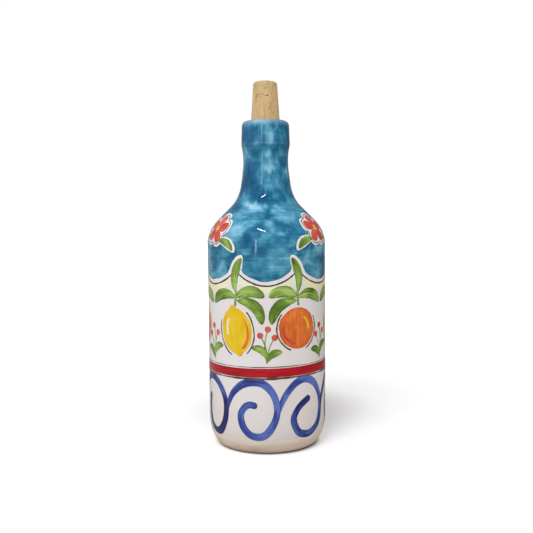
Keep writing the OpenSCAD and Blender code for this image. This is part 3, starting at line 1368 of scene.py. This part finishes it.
@dataclass
class Coats:
    """White glaze over the outside, the blue wash over neck and shoulder, and the line under its festoon.

    The scallops of the festoon hang from the lowest height up to their depth. The gaps are distances outside
    the scallops. Each far pair is the least and the most of what is drawn for the dabs away from the front.
    """

    skin: Skin
    lowest: float
    scallops: int = 6
    depth: float = 12.0
    white_sweep: Sweep = Sweep(24.0, 26, 1.3, 1.6)
    thin_t: float = 0.38
    thin_w: float = 2.5
    blue_sweep: Sweep = Sweep(138.0, 32, 1.4, 0.85)
    blue_t: float = 0.07
    blue_edge: Pair = (0.1, 1.2)
    edge_waver: float = 0.45
    blue_rows: int = 420
    line_gap: float = 2.3
    line_half: float = 0.5
    line_reach: float = 0.47
    wash_gap: float = 4.9
    wash_half: float = 1.7
    wash_reach: float = 0.93
    neck_z: float = 168.0
    far_dabs: int = 70
    far_turns: Pair = (58, 302)
    far_heights: Pair = (120, 216)
    far_lights: Pair = (-0.9, 0.9)
    far_long: Pair = (5, 10)
    far_short: Pair = (2.4, 4.5)
    front_dabs: tuple[Dab, ...] = (
        Dab(14, 206, 2.4, 4.4, 0.6), Dab(-12, 209, 3.6, 6.0, -0.6), Dab(30, 213, 4.0, 3.0, 0.6),
        Dab(46, 209, 3.0, 6.0, 0.5), Dab(-47, 197, 3.0, 4.6, 0.3), Dab(-40, 181, 4.0, 8.0, -0.8),
        Dab(-24, 188, 1.9, 10.0, -0.4), Dab(-9, 190, 2.2, 8.5, 0.2), Dab(11, 196, 2.6, 4.0, 0.6),
        Dab(8, 187, 3.8, 3.6, 0.6), Dab(55, 183, 3.6, 4.0, 1.0), Dab(33, 194, 3.0, 6.0, 0.5),
        Dab(-22, 174, 3.4, 4.2, -0.3), Dab(9, 176, 5.0, 4.2, 0.4), Dab(36, 178, 4.4, 4.6, 0.6),
        Dab(-4, 166, 5.0, 6.0, -1.0), Dab(24, 164, 6.0, 3.4, -0.8), Dab(-23, 162, 9.0, 2.6, 0.7),
        Dab(13, 160, 10.0, 2.6, 0.6), Dab(-4, 154, 5.0, 4.2, -0.5), Dab(-16, 155, 4.4, 9.0, 0.6),
        Dab(14, 149, 5.0, 5.0, -0.9), Dab(46, 163, 6.0, 3.4, 0.4), Dab(8, 142, 7.5, 2.2, 0.5),
        Dab(-22, 140, 5.0, 5.0, -0.6), Dab(-3, 135, 5.0, 4.2, -0.5), Dab(-18, 133, 3.4, 2.6, 0.6),
        Dab(-31, 131, 3.4, 7.5, -0.5))

    def build(self) -> None:
        """Makes both coats and the festoon's line."""
        self.white()
        self.blue()
        self.festoon_line()

    def swept(self, edge: np.ndarray, sweep: Sweep) -> np.ndarray:
        """Ways from an edge that changes with the angle up to the crest.

        Up to the still height they lie between the edge and it by a power of equal parts, and above it they
        are the same all round.

        Args:
            edge: Way of the edge at each angle.
            sweep: How the columns run.

        Returns:
            Ways along the outline, angles by points.
        """
        still = self.skin.way_at(sweep.still_z)
        part = np.linspace(0, 1, sweep.count)[None, :] ** sweep.power
        low = edge[:, None] + (still - edge)[:, None] * part
        high = self.skin.columns(still, sweep.step)
        return np.hstack([low, np.broadcast_to(high, (len(low), len(high)))])

    def white(self) -> None:
        """Sweeps the outline from a wavering edge above the foot to the crest; the edge thins out."""
        skin = self.skin
        around = circle(ROUND_STEPS)
        edge = skin.way_at(skin.outline.bare_foot_h) - 0.8
        edge = edge + 0.5 * np.sin(3 * around) + 0.3 * np.sin(8 * around + 1)
        ways = self.swept(edge, self.white_sweep)
        top = -self.thin_t * (1 - np.clip((ways - edge[:, None]) / self.thin_w, 0, 1)) ** 2
        piece("white_coat", [skin.coat(ways, top, -skin.outline.glaze_t)], WHITE, "outer_glaze")

    def edge_height(self, angle: np.ndarray, drop: float = 0.0) -> np.ndarray:
        """Height of the festoon's edge: circles that hang side by side round the bottle.

        The circle over a chord of one scallop has half the chord's square plus the depth's square over twice
        the depth as its radius.

        Args:
            angle: Angles from the front, in radians.
            drop: Distance outside the circles.

        Returns:
            Height at each angle.
        """
        body_r = self.skin.outline.body_r
        half = body_r * np.sin(np.pi / self.scallops)
        radius = (half ** 2 + self.depth ** 2) / (2 * self.depth)
        pitch = 2 * np.pi / self.scallops
        off = body_r * np.sin((angle + pitch / 2) % pitch - pitch / 2)
        return self.lowest + radius - np.sqrt((radius + drop) ** 2 - off ** 2)

    def blue(self) -> None:
        """Sweeps the outline from the festoon's edge to the crest; the edge wavers and thins out."""
        skin = self.skin
        around = circle(self.blue_rows)
        waver = self.edge_waver * shaken(around, np.pi / 2, skin.rng)
        edge = skin.way_at(self.edge_height(around)) + waver + self.edge_waver
        ways = self.swept(edge, self.blue_sweep)
        before, width = self.blue_edge
        top = self.blue_t * np.sqrt(np.clip((ways - edge[:, None] + before) / width, 0.05, 1))
        patch = skin.coat(ways, top, skin.SUNK, {"wash": self.brushed(around[:, None], ways)})
        finish = BlueWash("mottled_blue", "blue_wash", skin.outline.ridge_z * MM, skin.outline.lip_z * MM)
        piece("blue_coat", [patch], finish, "blue_wash")

    def dabs(self) -> list[Dab]:
        """Dabs set at the front, and drawn ones elsewhere: upright on the neck, level on the shoulder.

        Returns:
            The dabs, in order.
        """
        rng = np.random.default_rng(23)
        dabs = list(self.front_dabs)
        spans = (self.far_turns, self.far_heights, self.far_lights)
        for turn, height, light in zip(*[rng.uniform(*span, self.far_dabs) for span in spans]):
            long, short = rng.uniform(*self.far_long), rng.uniform(*self.far_short)
            wide, high = (short, long) if height > self.neck_z else (long, short)
            dabs.append(Dab(turn, height, wide, high, light))
        return dabs

    def brushed(self, angle: np.ndarray, ways: np.ndarray) -> np.ndarray:
        """Lightness of the brushed blue: every dab adds a flat-topped bell of its own half sizes.

        The bell falls with the 3.2th power of the distance from its middle in half sizes, and sines shift
        its edges.

        Args:
            angle: Angles from the front, in radians, as a column.
            ways: Ways along the outline, angles by points.

        Returns:
            Sum of the dabs at each point.
        """
        radius = self.skin.radius_at(ways)
        aside = 0.8 * np.sin(ways / 2.3 + 3 * angle) + 0.5 * np.sin(ways / 1.2 - 7 * angle)
        rise = 0.8 * np.sin(23 * angle + ways / 4) + 0.5 * np.sin(41 * angle - ways / 3)
        total = np.zeros_like(ways)
        for dab in self.dabs():
            across = (apart(angle, np.radians(dab.angle)) * radius + aside) / dab.wide
            up = (ways + rise - self.skin.way_at(dab.height)) / dab.high
            total += dab.light * np.exp(-(across ** 2 + up ** 2) ** 1.6)
        return total

    def festoon_line(self) -> None:
        """Brown line under each scallop and the pale wash below it, with a gap of white above.

        The line reaches to both sides by a share of a scallop's turn, and the wash by a share of that.
        """
        pitch = 2 * np.pi / self.scallops
        base = self.skin.way_at(self.lowest) - self.lowest
        reach = np.linspace(-self.line_reach, self.line_reach, 15) * pitch
        right = reach * self.skin.outline.body_r
        line = np.stack([right, self.edge_height(reach, self.line_gap)], axis=1)
        wash = np.stack([right * self.wash_reach,
                         self.edge_height(reach * self.wash_reach, self.wash_gap)], axis=1)
        marks = (Mark(line, self.line_half, lift=0.1, ragged=0.3, steps=90),
                 Mark(wash, self.wash_half, lift=0.03, ragged=0.2, steps=70))
        places = [Place(np.degrees(k * pitch), base) for k in range(self.scallops)]
        lines, washes = zip(*([self.skin.strip(mark, place) for mark in marks] for place in places))
        piece("festoon_line", lines, LINE)
        piece("festoon_wash", washes, PALE_WASH)


@dataclass(frozen=True)
class Scroll:
    """Form of a running scroll: points that the brush passes, and tones along it."""

    path: Path
    tones: tuple[float, ...]


RISE = ((-1.6, 26.4), (0.4, 32.4), (4.7, 41.0), (11.9, 47.5), (19.9, 49.1), (27.8, 44.6), (33.2, 36.0),
        (34.2, 26.4))
OPEN = Scroll(RISE + ((31.0, 18.4), (25.0, 13.8), (18.9, 12.4), (13.6, 14.6), (10.4, 19.4), (9.8, 24.8),
                      (12.6, 30.2), (17.2, 34.2), (22.8, 37.1)),
              (0.2, 0.3, 0.25, 0.1, 0.0, -0.02, -0.02, -0.3))
CURLED = Scroll(((-1.3, 27.6), (0.6, 33.6), (4.4, 40.3), (10.1, 46.2), (17.2, 48.9), (24.6, 47.9),
                 (30.3, 43.3), (33.7, 36.4), (34.0, 28.6), (31.4, 20.7), (26.8, 14.5), (21.2, 12.9),
                 (15.4, 14.7), (11.2, 20.3), (10.0, 26.8), (12.0, 31.4), (16.2, 33.8), (21.4, 33.1)),
                (-0.3, -0.06, 0.06, 0.15, 0.13, 0.06, 0.05, -0.05))
STEEP = Scroll(RISE + ((31.4, 18.0), (26.4, 13.4), (21.0, 13.0), (16.6, 16.4), (14.0, 21.6), (13.0, 27.0),
                       (13.4, 32.2), (15.0, 37.0)),
               (0.2, 0.3, 0.2, 0.05, -0.2, -0.3, -0.3, -0.4))


@dataclass
class Border:
    """Red band, its brown pinstripes and the running scrolls below them.

    A pinstripe is given by its gap from the band and its half width, a scroll by its form and its tone.
    """

    skin: Skin
    band_z: float
    band_w: float
    upper: Pair = (0.95, 0.24)
    lower: Pair = (0.85, 0.62)
    least_half: float = 0.12
    uneven: float = 0.12
    first_angle: float = -91.6
    scroll_start: float = 32.4
    scroll_half: tuple[float, ...] = (1.3, 2.0, 2.5, 2.6, 2.3, 2.2, 2.5, 2.65, 2.45, 2.2, 2.3)
    scroll_nudge: float = 0.25
    # The fourth scroll's darker tone of -0.24 is painted shade: it stands for the shade at the bottle's
    # right-hand edge.
    scrolls: tuple[tuple[Scroll, float], ...] = (
        (STEEP, -0.22), (CURLED, 0.14), (OPEN, 0.04), (CURLED, -0.24), (STEEP, 0.1), (CURLED, -0.1),
        (OPEN, 0.06))

    def build(self) -> None:
        """Makes the band, the stripes and the scrolls."""
        self.band()
        self.stripes()
        self.scroll_run()

    @property
    def around(self) -> np.ndarray:
        """Angles round the bottle from the front."""
        return circle(2 * ROUND_STEPS)

    def drawn(self, height: float) -> np.ndarray:
        """Way of a line drawn on the wheel at a height: it rises and falls slowly by two sines."""
        slow = 0.45 * np.sin(self.around - 1.1) + 0.15 * np.sin(2 * self.around + 0.6)
        return self.skin.way_at(height) + slow

    def waver(self, length: float) -> np.ndarray:
        """Uneven line round the bottle whose longest sine has a length in radians."""
        return shaken(self.around, length, self.skin.rng)

    def band(self) -> None:
        """Draws the red band with slightly uneven edges."""
        half = self.band_w / 2 + self.uneven * self.waver(2 * np.pi)
        patch = self.skin.hoop(self.drawn(self.band_z + self.band_w / 2), half, 0.13)
        piece("red_band_coat", [patch], BAND, "red_band")

    def stripes(self) -> None:
        """Draws the brown lines above and below the band: thin lines that swell and fade."""
        above = self.band_z + self.band_w + self.upper[0]
        below = self.band_z - self.lower[0]
        patches = []
        for height, half in ((above, self.upper[1]), (below, self.lower[1])):
            middle = self.drawn(height) + self.uneven * self.waver(2 * np.pi)
            width = half * (1 + 0.5 * self.waver(np.pi / 2))
            patches.append(self.skin.hoop(middle, np.maximum(width, self.least_half), 0.1))
        piece("pinstripes", patches, PINSTRIPE)

    def scroll_run(self) -> None:
        """Paints one scroll after another; each starts on the flank of the one before."""
        skin = self.skin
        base = skin.way_at(self.scroll_start) - self.scroll_start
        pitch = 360 / len(self.scrolls)
        patches = []
        for k, (form, load) in enumerate(self.scrolls):
            path = np.array(form.path)
            nudge = skin.rng.uniform(-self.scroll_nudge, self.scroll_nudge, path.shape)
            mark = Mark(path + nudge, self.scroll_half, lift=0.05 + 0.012 * (k % 2), steps=190,
                        tone=np.array(form.tones) + load, ragged=0.05)
            patches.append(skin.strip(mark, Place(self.first_angle + pitch * k, base)))
        piece("scrolls", patches, SCROLL)


@dataclass
class FruitSprigs:
    """Hanging lemons and oranges with their leaves, one under each point between two scallops."""

    skin: Skin
    count: int
    fruit_c: Pair = (0.0, 81.5)
    lemon_half: Pair = (11.2, 16.8)
    lemon_tilt: float = 10.0
    orange_r: float = 13.4
    orange_rise: float = 1.5
    rim_gap: float = 1.3
    rim_half: float = 0.45
    leaf_half: float = 3.7
    halo_w: float = 1.5
    front_leaves: tuple[Bow, ...] = (
        ((-0.3, 103.0), (-20.0, 98.5), -0.2), ((0.3, 103.0), (19.5, 103.5), 0.2))
    back_leaf: Bow = ((0.8, 101.0), (18.0, 86.0), 0.24)
    top_leaf: Bow = ((0.0, 106.0), (4.5, 128.5), 0.12)
    stem: Path = ((0.4, 110.0), (0.0, 104.0), (-0.4, 97.5))
    sprout_leaves: tuple[Bow, ...] = (((0, 64), (-10, 71), -0.2), ((0, 62), (10, 68), 0.2))
    sprout_half: float = 2.4
    stalk_foot: Pair = (0, 61)
    stalk_half: float = 0.42
    berries: Path = ((0.6, 83.0), (-4.4, 79.0), (4.8, 77.5))
    berry_r: float = 2.0

    def build(self) -> None:
        """Paints all sprigs, colour by colour."""
        base = self.skin.way_at(self.fruit_c[1]) - self.fruit_c[1]
        pitch = 360 / self.count
        lemons = [Place((k + 0.5) * pitch, base, 0, 1) for k in range(1, self.count, 2)]
        oranges = [Place((k + 0.5) * pitch, base, 0, -1) for k in range(0, self.count, 2)]
        self.lemon(lemons)
        self.orange(oranges)
        self.foliage(lemons + oranges)
        self.sprouts([Place(k * pitch, base, 0, 1 - 2 * (k % 2)) for k in range(self.count)])

    def lemon(self, places: Sequence[Place]) -> None:
        """Paints the lemons: a drawn-out ellipse, an orange shade, a white glint and broken outlines.

        Args:
            places: Where the sprigs hang.
        """
        wide, high = self.lemon_half
        tilt = self.lemon_tilt
        centre = self.fruit_c
        fruit = Mark(spine(centre, unit(90.0 + tilt) * high, 0.4), wide, Brush.LEMON, 0.08, steps=60,
                     ragged=0.03)
        shade = Mark(ellipse(centre, wide * 0.74, high * 0.74, -75, 38, tilt), 1.5, Brush.FLICK, 0.1)
        glint = Mark(ellipse(centre, wide * 0.6, high * 0.62, 125, 190, tilt), 0.8, lift=0.1)
        rims = [Mark(ellipse(centre, wide + self.rim_gap, high + 0.2, *span, tilt), self.rim_half, lift=0.1,
                     ragged=0.3) for span in ((150, 242), (-66, 40))]
        self.skin.paint(places, ("lemons", [fruit], YELLOW), ("lemon_shades", [shade], ORANGE),
                        ("lemon_glints", [glint], HALO), ("lemon_outlines", rims, LINE))

    def orange(self, places: Sequence[Place]) -> None:
        """Paints the oranges: a round, a coral shade with dots beside it, a glint and broken outlines.

        Args:
            places: Where the sprigs hang.
        """
        size = self.orange_r
        rim = size + self.rim_gap
        centre = np.array(self.fruit_c) + [0, self.orange_rise]
        fruit = Mark(spine(centre, (0, size), 0.4), size, Brush.OVAL, 0.08, steps=60, ragged=0.03)
        shade = Mark(ellipse(centre, size * 0.76, size * 0.76, -80, 35), 1.4, Brush.FLICK, 0.1)
        spots = [(0.5, -70.0), (0.5, -35.0), (0.5, 0.0), (0.25, -100.0), (0.25, -20.0)]
        dots = [Mark(centre + size * share * unit(turn) + [[0, 0.5], [0, 0.0], [0, -0.5]], 0.4, lift=0.1,
                     steps=12) for share, turn in spots]
        glint = Mark(ellipse(centre, size * 0.62, size * 0.62, 120, 185), 0.9, lift=0.1)
        rims = [Mark(ellipse(centre, rim, rim, *span), self.rim_half, lift=0.1, ragged=0.3)
                for span in ((150, 246), (-70, 40))]
        self.skin.paint(places, ("oranges", [fruit], ORANGE), ("orange_shades", [shade] + dots, CORAL),
                        ("orange_glints", [glint], YELLOW), ("orange_outlines", rims, LINE))

    def foliage(self, places: Sequence[Place]) -> None:
        """Paints stems and leaves with pale streaks; the top leaf crosses the blue on a white halo.

        Args:
            places: Where the sprigs hang.
        """
        half = self.leaf_half
        leaves = [Mark(bent(*leaf), half, Brush.LEAF, 0.1, ragged=0.05) for leaf in self.front_leaves]
        leaves += [Mark(bent(*self.back_leaf), half, Brush.LEAF, 0.06, -0.1, 0.05),
                   Mark(bent(*self.top_leaf), half, Brush.LEAF, 0.11, ragged=0.05),
                   Mark(np.array(self.stem), 0.9, lift=0.09)]
        start, end, bend = self.top_leaf
        halo = Mark(bent(start, (end[0] + 0.2, end[1] + 1.7), bend), half + self.halo_w, Brush.LEAF, 0.09)
        streaks = [Mark(bent(*leaf)[:4], 0.55, Brush.FLICK, 0.13, ragged=0.2)
                   for leaf in self.front_leaves + (self.top_leaf,)]
        self.skin.paint(places, ("leaves", leaves, LEAF), ("leaf_halos", [halo], HALO),
                        ("leaf_streaks", streaks, LEAF_STREAK))

    def sprouts(self, places: Sequence[Place]) -> None:
        """Paints a small upright sprout between two sprigs: stalks, two leaves and three berries.

        Args:
            places: Where the sprouts stand.
        """
        stalks = [Mark(bent(self.stalk_foot, spot, 0.08 * np.sign(spot[0])), self.stalk_half)
                  for spot in self.berries]
        leaves = [Mark(bent(*leaf), self.sprout_half, Brush.LEAF, 0.07) for leaf in self.sprout_leaves]
        berries = [Mark(spine(spot, (0, self.berry_r), 0.3), self.berry_r, Brush.OVAL, 0.09)
                   for spot in self.berries]
        self.skin.paint(places, ("sprouts", stalks + leaves, LEAF), ("berries", berries, CORAL))


@dataclass
class ShoulderBlossoms:
    """Coral blossoms with two leaves on white grounds, set into the blue of the shoulder."""

    skin: Skin
    count: int = 3
    first_angle: float = -60.0
    turn_step: float = 8.0
    height: float = 147.0
    petals: int = 5
    petal_len: float = 10.5
    petal_half: float = 4.6
    heart_r: float = 2.0
    rim: float = 1.3
    rim_half: float = 0.36
    ground_w: float = 2.0
    leaves: tuple[Bow, ...] = (((-7.0, -7.5), (-20.0, -13.5), -0.16), ((7.0, -7.5), (20.5, -12.0), 0.16))
    leaf_half: float = 3.0

    def build(self) -> None:
        """Paints grounds, leaves, petals, hearts and outlines."""
        way = float(self.skin.way_at(self.height))
        places = [Place(self.first_angle + 360 / self.count * k, way, self.turn_step * (k - 1))
                  for k in range(self.count)]
        leaves = [Mark(bent(*leaf), self.leaf_half, Brush.LEAF, 0.11) for leaf in self.leaves]
        grounds = [Mark(bent(start, np.array(end) * 1.07, bend), self.leaf_half + self.rim, Brush.LEAF, 0.09)
                   for start, end, bend in self.leaves]
        petals, rims = [], []
        for turn in 90 + 360 / self.petals * np.arange(self.petals):
            out = unit(turn)
            inner = out * self.petal_len * np.array([[0.13], [0.44], [0.78], [1.0]])
            outer = out * (self.petal_len + 2 * self.rim) * np.array([[0.0], [0.35], [0.7], [1.0]])
            edge = ellipse(out * self.petal_len * 0.62, self.petal_len * 0.47, self.petal_half + 0.9,
                           -75, 75, turn)
            petals.append(Mark(inner, self.petal_half, Brush.PETAL, 0.12, ragged=0.05))
            grounds.append(Mark(outer, self.petal_half + self.ground_w, Brush.PETAL, 0.1))
            rims.append(Mark(edge, self.rim_half, lift=0.13, ragged=0.3))
        heart = Mark(spine((0, 0), (0, self.heart_r), 0.35), self.heart_r, Brush.OVAL, 0.14)
        self.skin.paint(places, ("blossom_grounds", grounds, HALO), ("blossom_leaves", leaves, LEAF),
                        ("blossom_petals", petals, CORAL), ("blossom_hearts", [heart], YELLOW),
                        ("blossom_outlines", rims, LINE))


@dataclass
class CorkStopper:
    """Tapered natural cork with pores.

    Pits are drawn, but not within the bare ways from the ends of its section. Flecks are pores set at the
    front: angle, height, half width and half height.
    """

    low_z: float
    high_z: float
    widest_r: float = 9.75
    widest_z: float = 216.56
    inner_r: float = 9.26
    top_r: float = 8.1
    edge: float = 2.4
    bevel: float = 1.0
    bare_in: float = 8.0
    bare_out: float = 2.0
    pits: int = 24
    pit_wide: Pair = (0.2, 0.7)
    pit_high: Pair = (0.2, 0.45)
    pit_depth: Pair = (0.15, 0.45)
    flecks: tuple[tuple[float, float, float, float], ...] = (
        (-45.0, 234.2, 0.8, 0.7), (-40.0, 235.2, 0.7, 0.5), (-30.0, 235.2, 0.4, 0.5),
        (-12.0, 235.2, 0.4, 0.5), (-4.0, 234.4, 0.4, 0.4), (9.0, 234.4, 1.0, 0.7))
    step: float = 0.28

    def section(self) -> np.ndarray:
        """Half section: bevelled inner end, two tapers that meet at the mouth, rounded outer edge.

        Returns:
            Radius and height of its points.
        """
        corner = Round(np.array([self.top_r - self.edge, self.high_z - self.edge]), self.edge, 0, 90, 10.0)
        inner = [[AXIS_R, self.low_z], [self.inner_r - self.bevel, self.low_z],
                 [self.inner_r, self.low_z + self.bevel], [self.widest_r, self.widest_z]]
        return resampled(np.vstack([inner, corner.trace()[0], [AXIS_R, self.high_z]]), self.step)

    def pores(self, section: np.ndarray, rng: np.random.Generator) -> list[tuple[float, float, float, float]]:
        """Drawn pores all over the cork and the set ones at its front.

        Args:
            section: Radius and height of the section's points.
            rng: Source of the drawn pores.

        Returns:
            Angle, way along the section, half width and half height of each.
        """
        way = path_way(section)
        open_way = way[(way > self.bare_in) & (way < way[-1] - self.bare_out)]
        spans = ((0, 2 * np.pi), (open_way[0], open_way[-1]), self.pit_wide, self.pit_high)
        drawn = [tuple(rng.uniform(*span) for span in spans) for _ in range(self.pits)]
        top = np.argmax(section[:, 1])
        return drawn + [(np.radians(turn), np.interp(height, section[:top, 1], way[:top]), wide, high)
                        for turn, height, wide, high in self.flecks]

    def build(self) -> None:
        """Turns the section and presses pores into it.

        A pore is a lens, wider round the cork than up it or the other way, and its depth falls with one less
        the square of the distance from its middle in half lengths.
        """
        rng = np.random.default_rng(7)
        section = self.section()
        way = path_way(section)[None, :]
        pit = np.zeros((ROUND_STEPS, len(section)))
        depth = np.zeros_like(pit)
        for turn, middle, wide, high in self.pores(section, rng):
            aside = apart(circle(ROUND_STEPS), turn)[:, None]
            across = aside * np.maximum(section[None, :, 0], 1) / wide
            lens = np.clip(1 - across ** 2 - ((way - middle) / high) ** 2, 0, 1)
            pit = np.maximum(pit, lens)
            depth = np.maximum(depth, lens * rng.uniform(*self.pit_depth))
        patch = turned(section, False, -depth * off_axis(section))
        patch.tags["pit"] = pit
        piece("cork_grain", [patch], STOPPER, "cork_stopper", CORK, 60.0)


@dataclass(frozen=True)
class PaleFloor(Finish):
    """Plain pale floor of the studio with a painted glow by place, so that it stays white round the shadow.

    Each pair gives the distances between which a change runs: out of the painted contact shadow under the
    bottle, out of the shadow, where the painted glow is weaker, and to the white of what lies behind.
    """

    body: Colour = (231, 232, 234)
    # painted contact shadow: dark floor colour at the bottle's foot
    under: Colour = (40, 39, 38)
    # painted light: the floor's glow, none at the foot, weak in the shadow, stronger in the open, white far
    # off
    glow_under: Colour = (0, 0, 0)
    glow_shade: Colour = (33, 33, 33)
    glow_open: Colour = (139, 139, 139)
    glow_far: Colour = (246, 246, 246)
    contact_shadow_centre: Triple = (0.0006, 0.0003, 0.0)
    contact_shadow_r: Pair = (0.031, 0.0368)
    shade: Triple = (0.0095, 0.0777, 0.0)
    shade_r: Pair = (0.0185, 0.0945)
    far_r: Pair = (0.16, 0.5)

    def dress(self, shader: Shader) -> None:
        """Matt white; painted shadow at the foot, and painted glow away from the bottle and its shadow.

        Args:
            shader: Tree to fill.
        """
        away = shader.away(self.contact_shadow_centre)
        # painted contact shadow round the foot, its centre a little to the right and back
        clear = away.rise(*self.contact_shadow_r)
        # painted glow, weaker in the shadow behind and to the right of the bottle
        glow = shader.mix(shader.away(self.shade).rise(*self.shade_r), self.glow_shade, self.glow_open)
        glow = shader.mix(away.rise(*self.far_r), glow, self.glow_far)
        glow = shader.mix(clear, self.glow_under, glow)
        shader.surface(Base_Color=shader.mix(clear, self.under, self.body), Roughness=0.9,
                       Emission_Color=glow, Emission_Strength=1.0)


@dataclass(frozen=True)
class BounceBoard(Finish):
    """Grey board that stands in for the floor where it throws light back at the bottle."""

    body: Colour = (199, 196, 191)
    # painted contact shade: darker board under the bottle, so that it throws back less light there
    under: Colour = (156, 150, 143)
    painted_shade_r: Pair = (0.033, 0.046)

    def dress(self, shader: Shader) -> None:
        """Matt grey with painted shade that darkens it under the bottle."""
        clear = shader.away((0, 0, 0)).rise(*self.painted_shade_r)
        shader.surface(Base_Color=shader.mix(clear, self.under, self.body), Roughness=0.9)


@dataclass(frozen=True)
class Lamp:
    """An oblong area light, with its power in watts and its turn about its own axis in degrees."""

    name: str
    place: Triple
    size: Pair
    power: float
    turn: float = 0.0
    tint: Triple = (1, 1, 1)
    mirrored: bool = True
    shadow: bool = True

    def build(self, aim: Triple) -> None:
        """Adds the light.

        Args:
            aim: Point that it faces.
        """
        light = bpy.data.lights.new(self.name, "AREA")
        light.shape = "RECTANGLE"
        light.size, light.size_y = self.size
        light.energy = self.power
        light.color = self.tint
        light.use_shadow = self.shadow
        made = bpy.data.objects.new(self.name, light)
        facing = (Vector(aim) - Vector(self.place)).to_track_quat("-Z", "Y").to_matrix().to_4x4()
        turn = Matrix.Rotation(np.radians(self.turn), 4, "Z")
        made.matrix_world = Matrix.Translation(self.place) @ facing @ turn
        made.visible_glossy = self.mirrored
        bpy.context.scene.collection.objects.link(made)


@dataclass
class Studio:
    """Floor, lights, surroundings and camera.

    The lamps all face the middle: a large soft key from the front left, weaker fills from both sides, and two
    strips that the glaze mirrors. What it mirrors of the surroundings is darker by hidden, and more so on the
    right.
    """

    floor_r: float = 3.0
    floor_sides: int = 96
    floor_drop: float = 0.0001
    bounce_drop: float = 0.0004
    picture: int = 533
    focal_px: float = 757.0
    sensor: float = 36.0
    eye: Triple = (0.0, -0.5165, 0.159)
    tilt_down: float = 4.3
    roll: float = -0.43
    sky: float = 0.565
    bounce: float = 0.63
    hidden: float = 0.25
    hidden_right: float = 0.2
    middle: Triple = (0.0, 0.0, 0.12)
    lamps: tuple[Lamp, ...] = (
        Lamp("key", (-0.34, -0.8, 1.15), (0.6, 0.6), 8.4, tint=(0.96, 1.0, 1.1), mirrored=False),
        Lamp("right_fill", (0.9, -0.4, 0.5), (0.8, 0.8), 2.05, 0.0, (1.0, 0.84, 0.62), False, False),
        Lamp("left_fill", (-1.0, -0.2, 0.5), (0.8, 0.8), 2.25, 0.0, (1.0, 0.8, 0.5), False, False),
        Lamp("glint_strip", (-0.1, -0.455, 0.725), (0.22, 0.012), 0.6, -31.0),
        Lamp("tall_strip", (-0.41, -1.13, 0.32), (0.07, 0.52), 0.56))

    def build(self) -> None:
        """Makes everything round the object."""
        self.floor("studio_floor", self.floor_drop, PaleFloor("floor_white", None), True)
        self.floor("studio_bounce", self.bounce_drop, BounceBoard("floor_bounce", None), False)
        self.surroundings()
        for lamp in self.lamps:
            lamp.build(self.middle)
        self.camera()

    def floor(self, name: str, drop: float, finish: Finish, seen: bool) -> None:
        """Adds a round floor, which the glaze doesn't mirror.

        Args:
            name: Name of the floor.
            drop: How far it lies under the foot.
            finish: Finish that dresses it.
            seen: Whether only the camera sees it; if not, it only lights and shades the bottle.
        """
        rim = wrapped(circle(self.floor_sides), np.array(self.floor_r), np.array(-drop))
        mesh = bpy.data.meshes.new(name)
        mesh.from_pydata(rim.tolist(), [], [list(range(self.floor_sides))])
        mesh.materials.append(finish.material())
        made = bpy.data.objects.new(name, mesh)
        made.visible_camera = seen
        made.visible_diffuse = made.visible_shadow = not seen
        made.visible_glossy = False
        bpy.context.scene.collection.objects.link(made)

    def surroundings(self) -> None:
        """White behind the object, grey for what the glaze mirrors, and soft light for the rest."""
        world = bpy.data.worlds.new("studio")
        world.use_nodes = True
        bpy.context.scene.world = world
        shader = Shader(world.node_tree)
        rays = shader.node("ShaderNodeLightPath").outputs
        seen, mirrored = (Value(shader, rays[name]) for name in ("Is Camera Ray", "Is Glossy Ray"))
        aim = shader.value("Generated", "ShaderNodeTexCoord")
        axes = shader.node("ShaderNodeSeparateXYZ", {}, {"Vector": aim}).outputs
        soft = Value(shader, axes["Z"]).rise(-0.3, 0.4) * (self.sky - self.bounce) + self.bounce
        dim = Value(shader, axes["X"]).rise(-0.9, 0.9) * self.hidden_right + self.hidden
        strength = seen + (1 - seen) * (soft - mirrored * dim)
        back = shader.value("Background", "ShaderNodeBackground", {},
                            {"Color": (1, 1, 1, 1), "Strength": strength})
        shader.node("ShaderNodeOutputWorld", {}, {"Surface": back})

    def camera(self) -> None:
        """Camera at the photograph's place: tilted down a little, rolled a little."""
        lens = bpy.data.cameras.new("camera")
        lens.sensor_width = self.sensor
        lens.lens = self.focal_px / self.picture * self.sensor
        lens.clip_start = 0.01
        made = bpy.data.objects.new("camera", lens)
        level = Matrix.Rotation(np.radians(90 - self.tilt_down), 4, "X")
        roll = Matrix.Rotation(np.radians(self.roll), 4, "Z")
        made.matrix_world = Matrix.Translation(self.eye) @ level @ roll
        bpy.context.scene.collection.objects.link(made)
        bpy.context.scene.camera = made
        bpy.context.scene.view_settings.view_transform = "Standard"


def main() -> None:
    """Builds the pieces from the inside out, then the studio."""
    logging.basicConfig(level=logging.INFO, format="%(message)s")
    glaze = node_box("outer_glaze")
    wash = node_box("blue_wash")
    band = node_box("red_band")
    cork = node_box("cork_stopper")
    skin = Skin(Outline(body_r=glaze[1, 0], lip_z=glaze[1, 2]))
    ClayShell(skin).build()
    coats = Coats(skin, lowest=wash[0, 2])
    coats.build()
    Border(skin, band_z=band[0, 2], band_w=band[1, 2] - band[0, 2]).build()
    FruitSprigs(skin, count=coats.scallops).build()
    ShoulderBlossoms(skin).build()
    CorkStopper(low_z=cork[0, 2], high_z=cork[1, 2]).build()
    Studio().build()


if __name__ == "__main__":
    main()
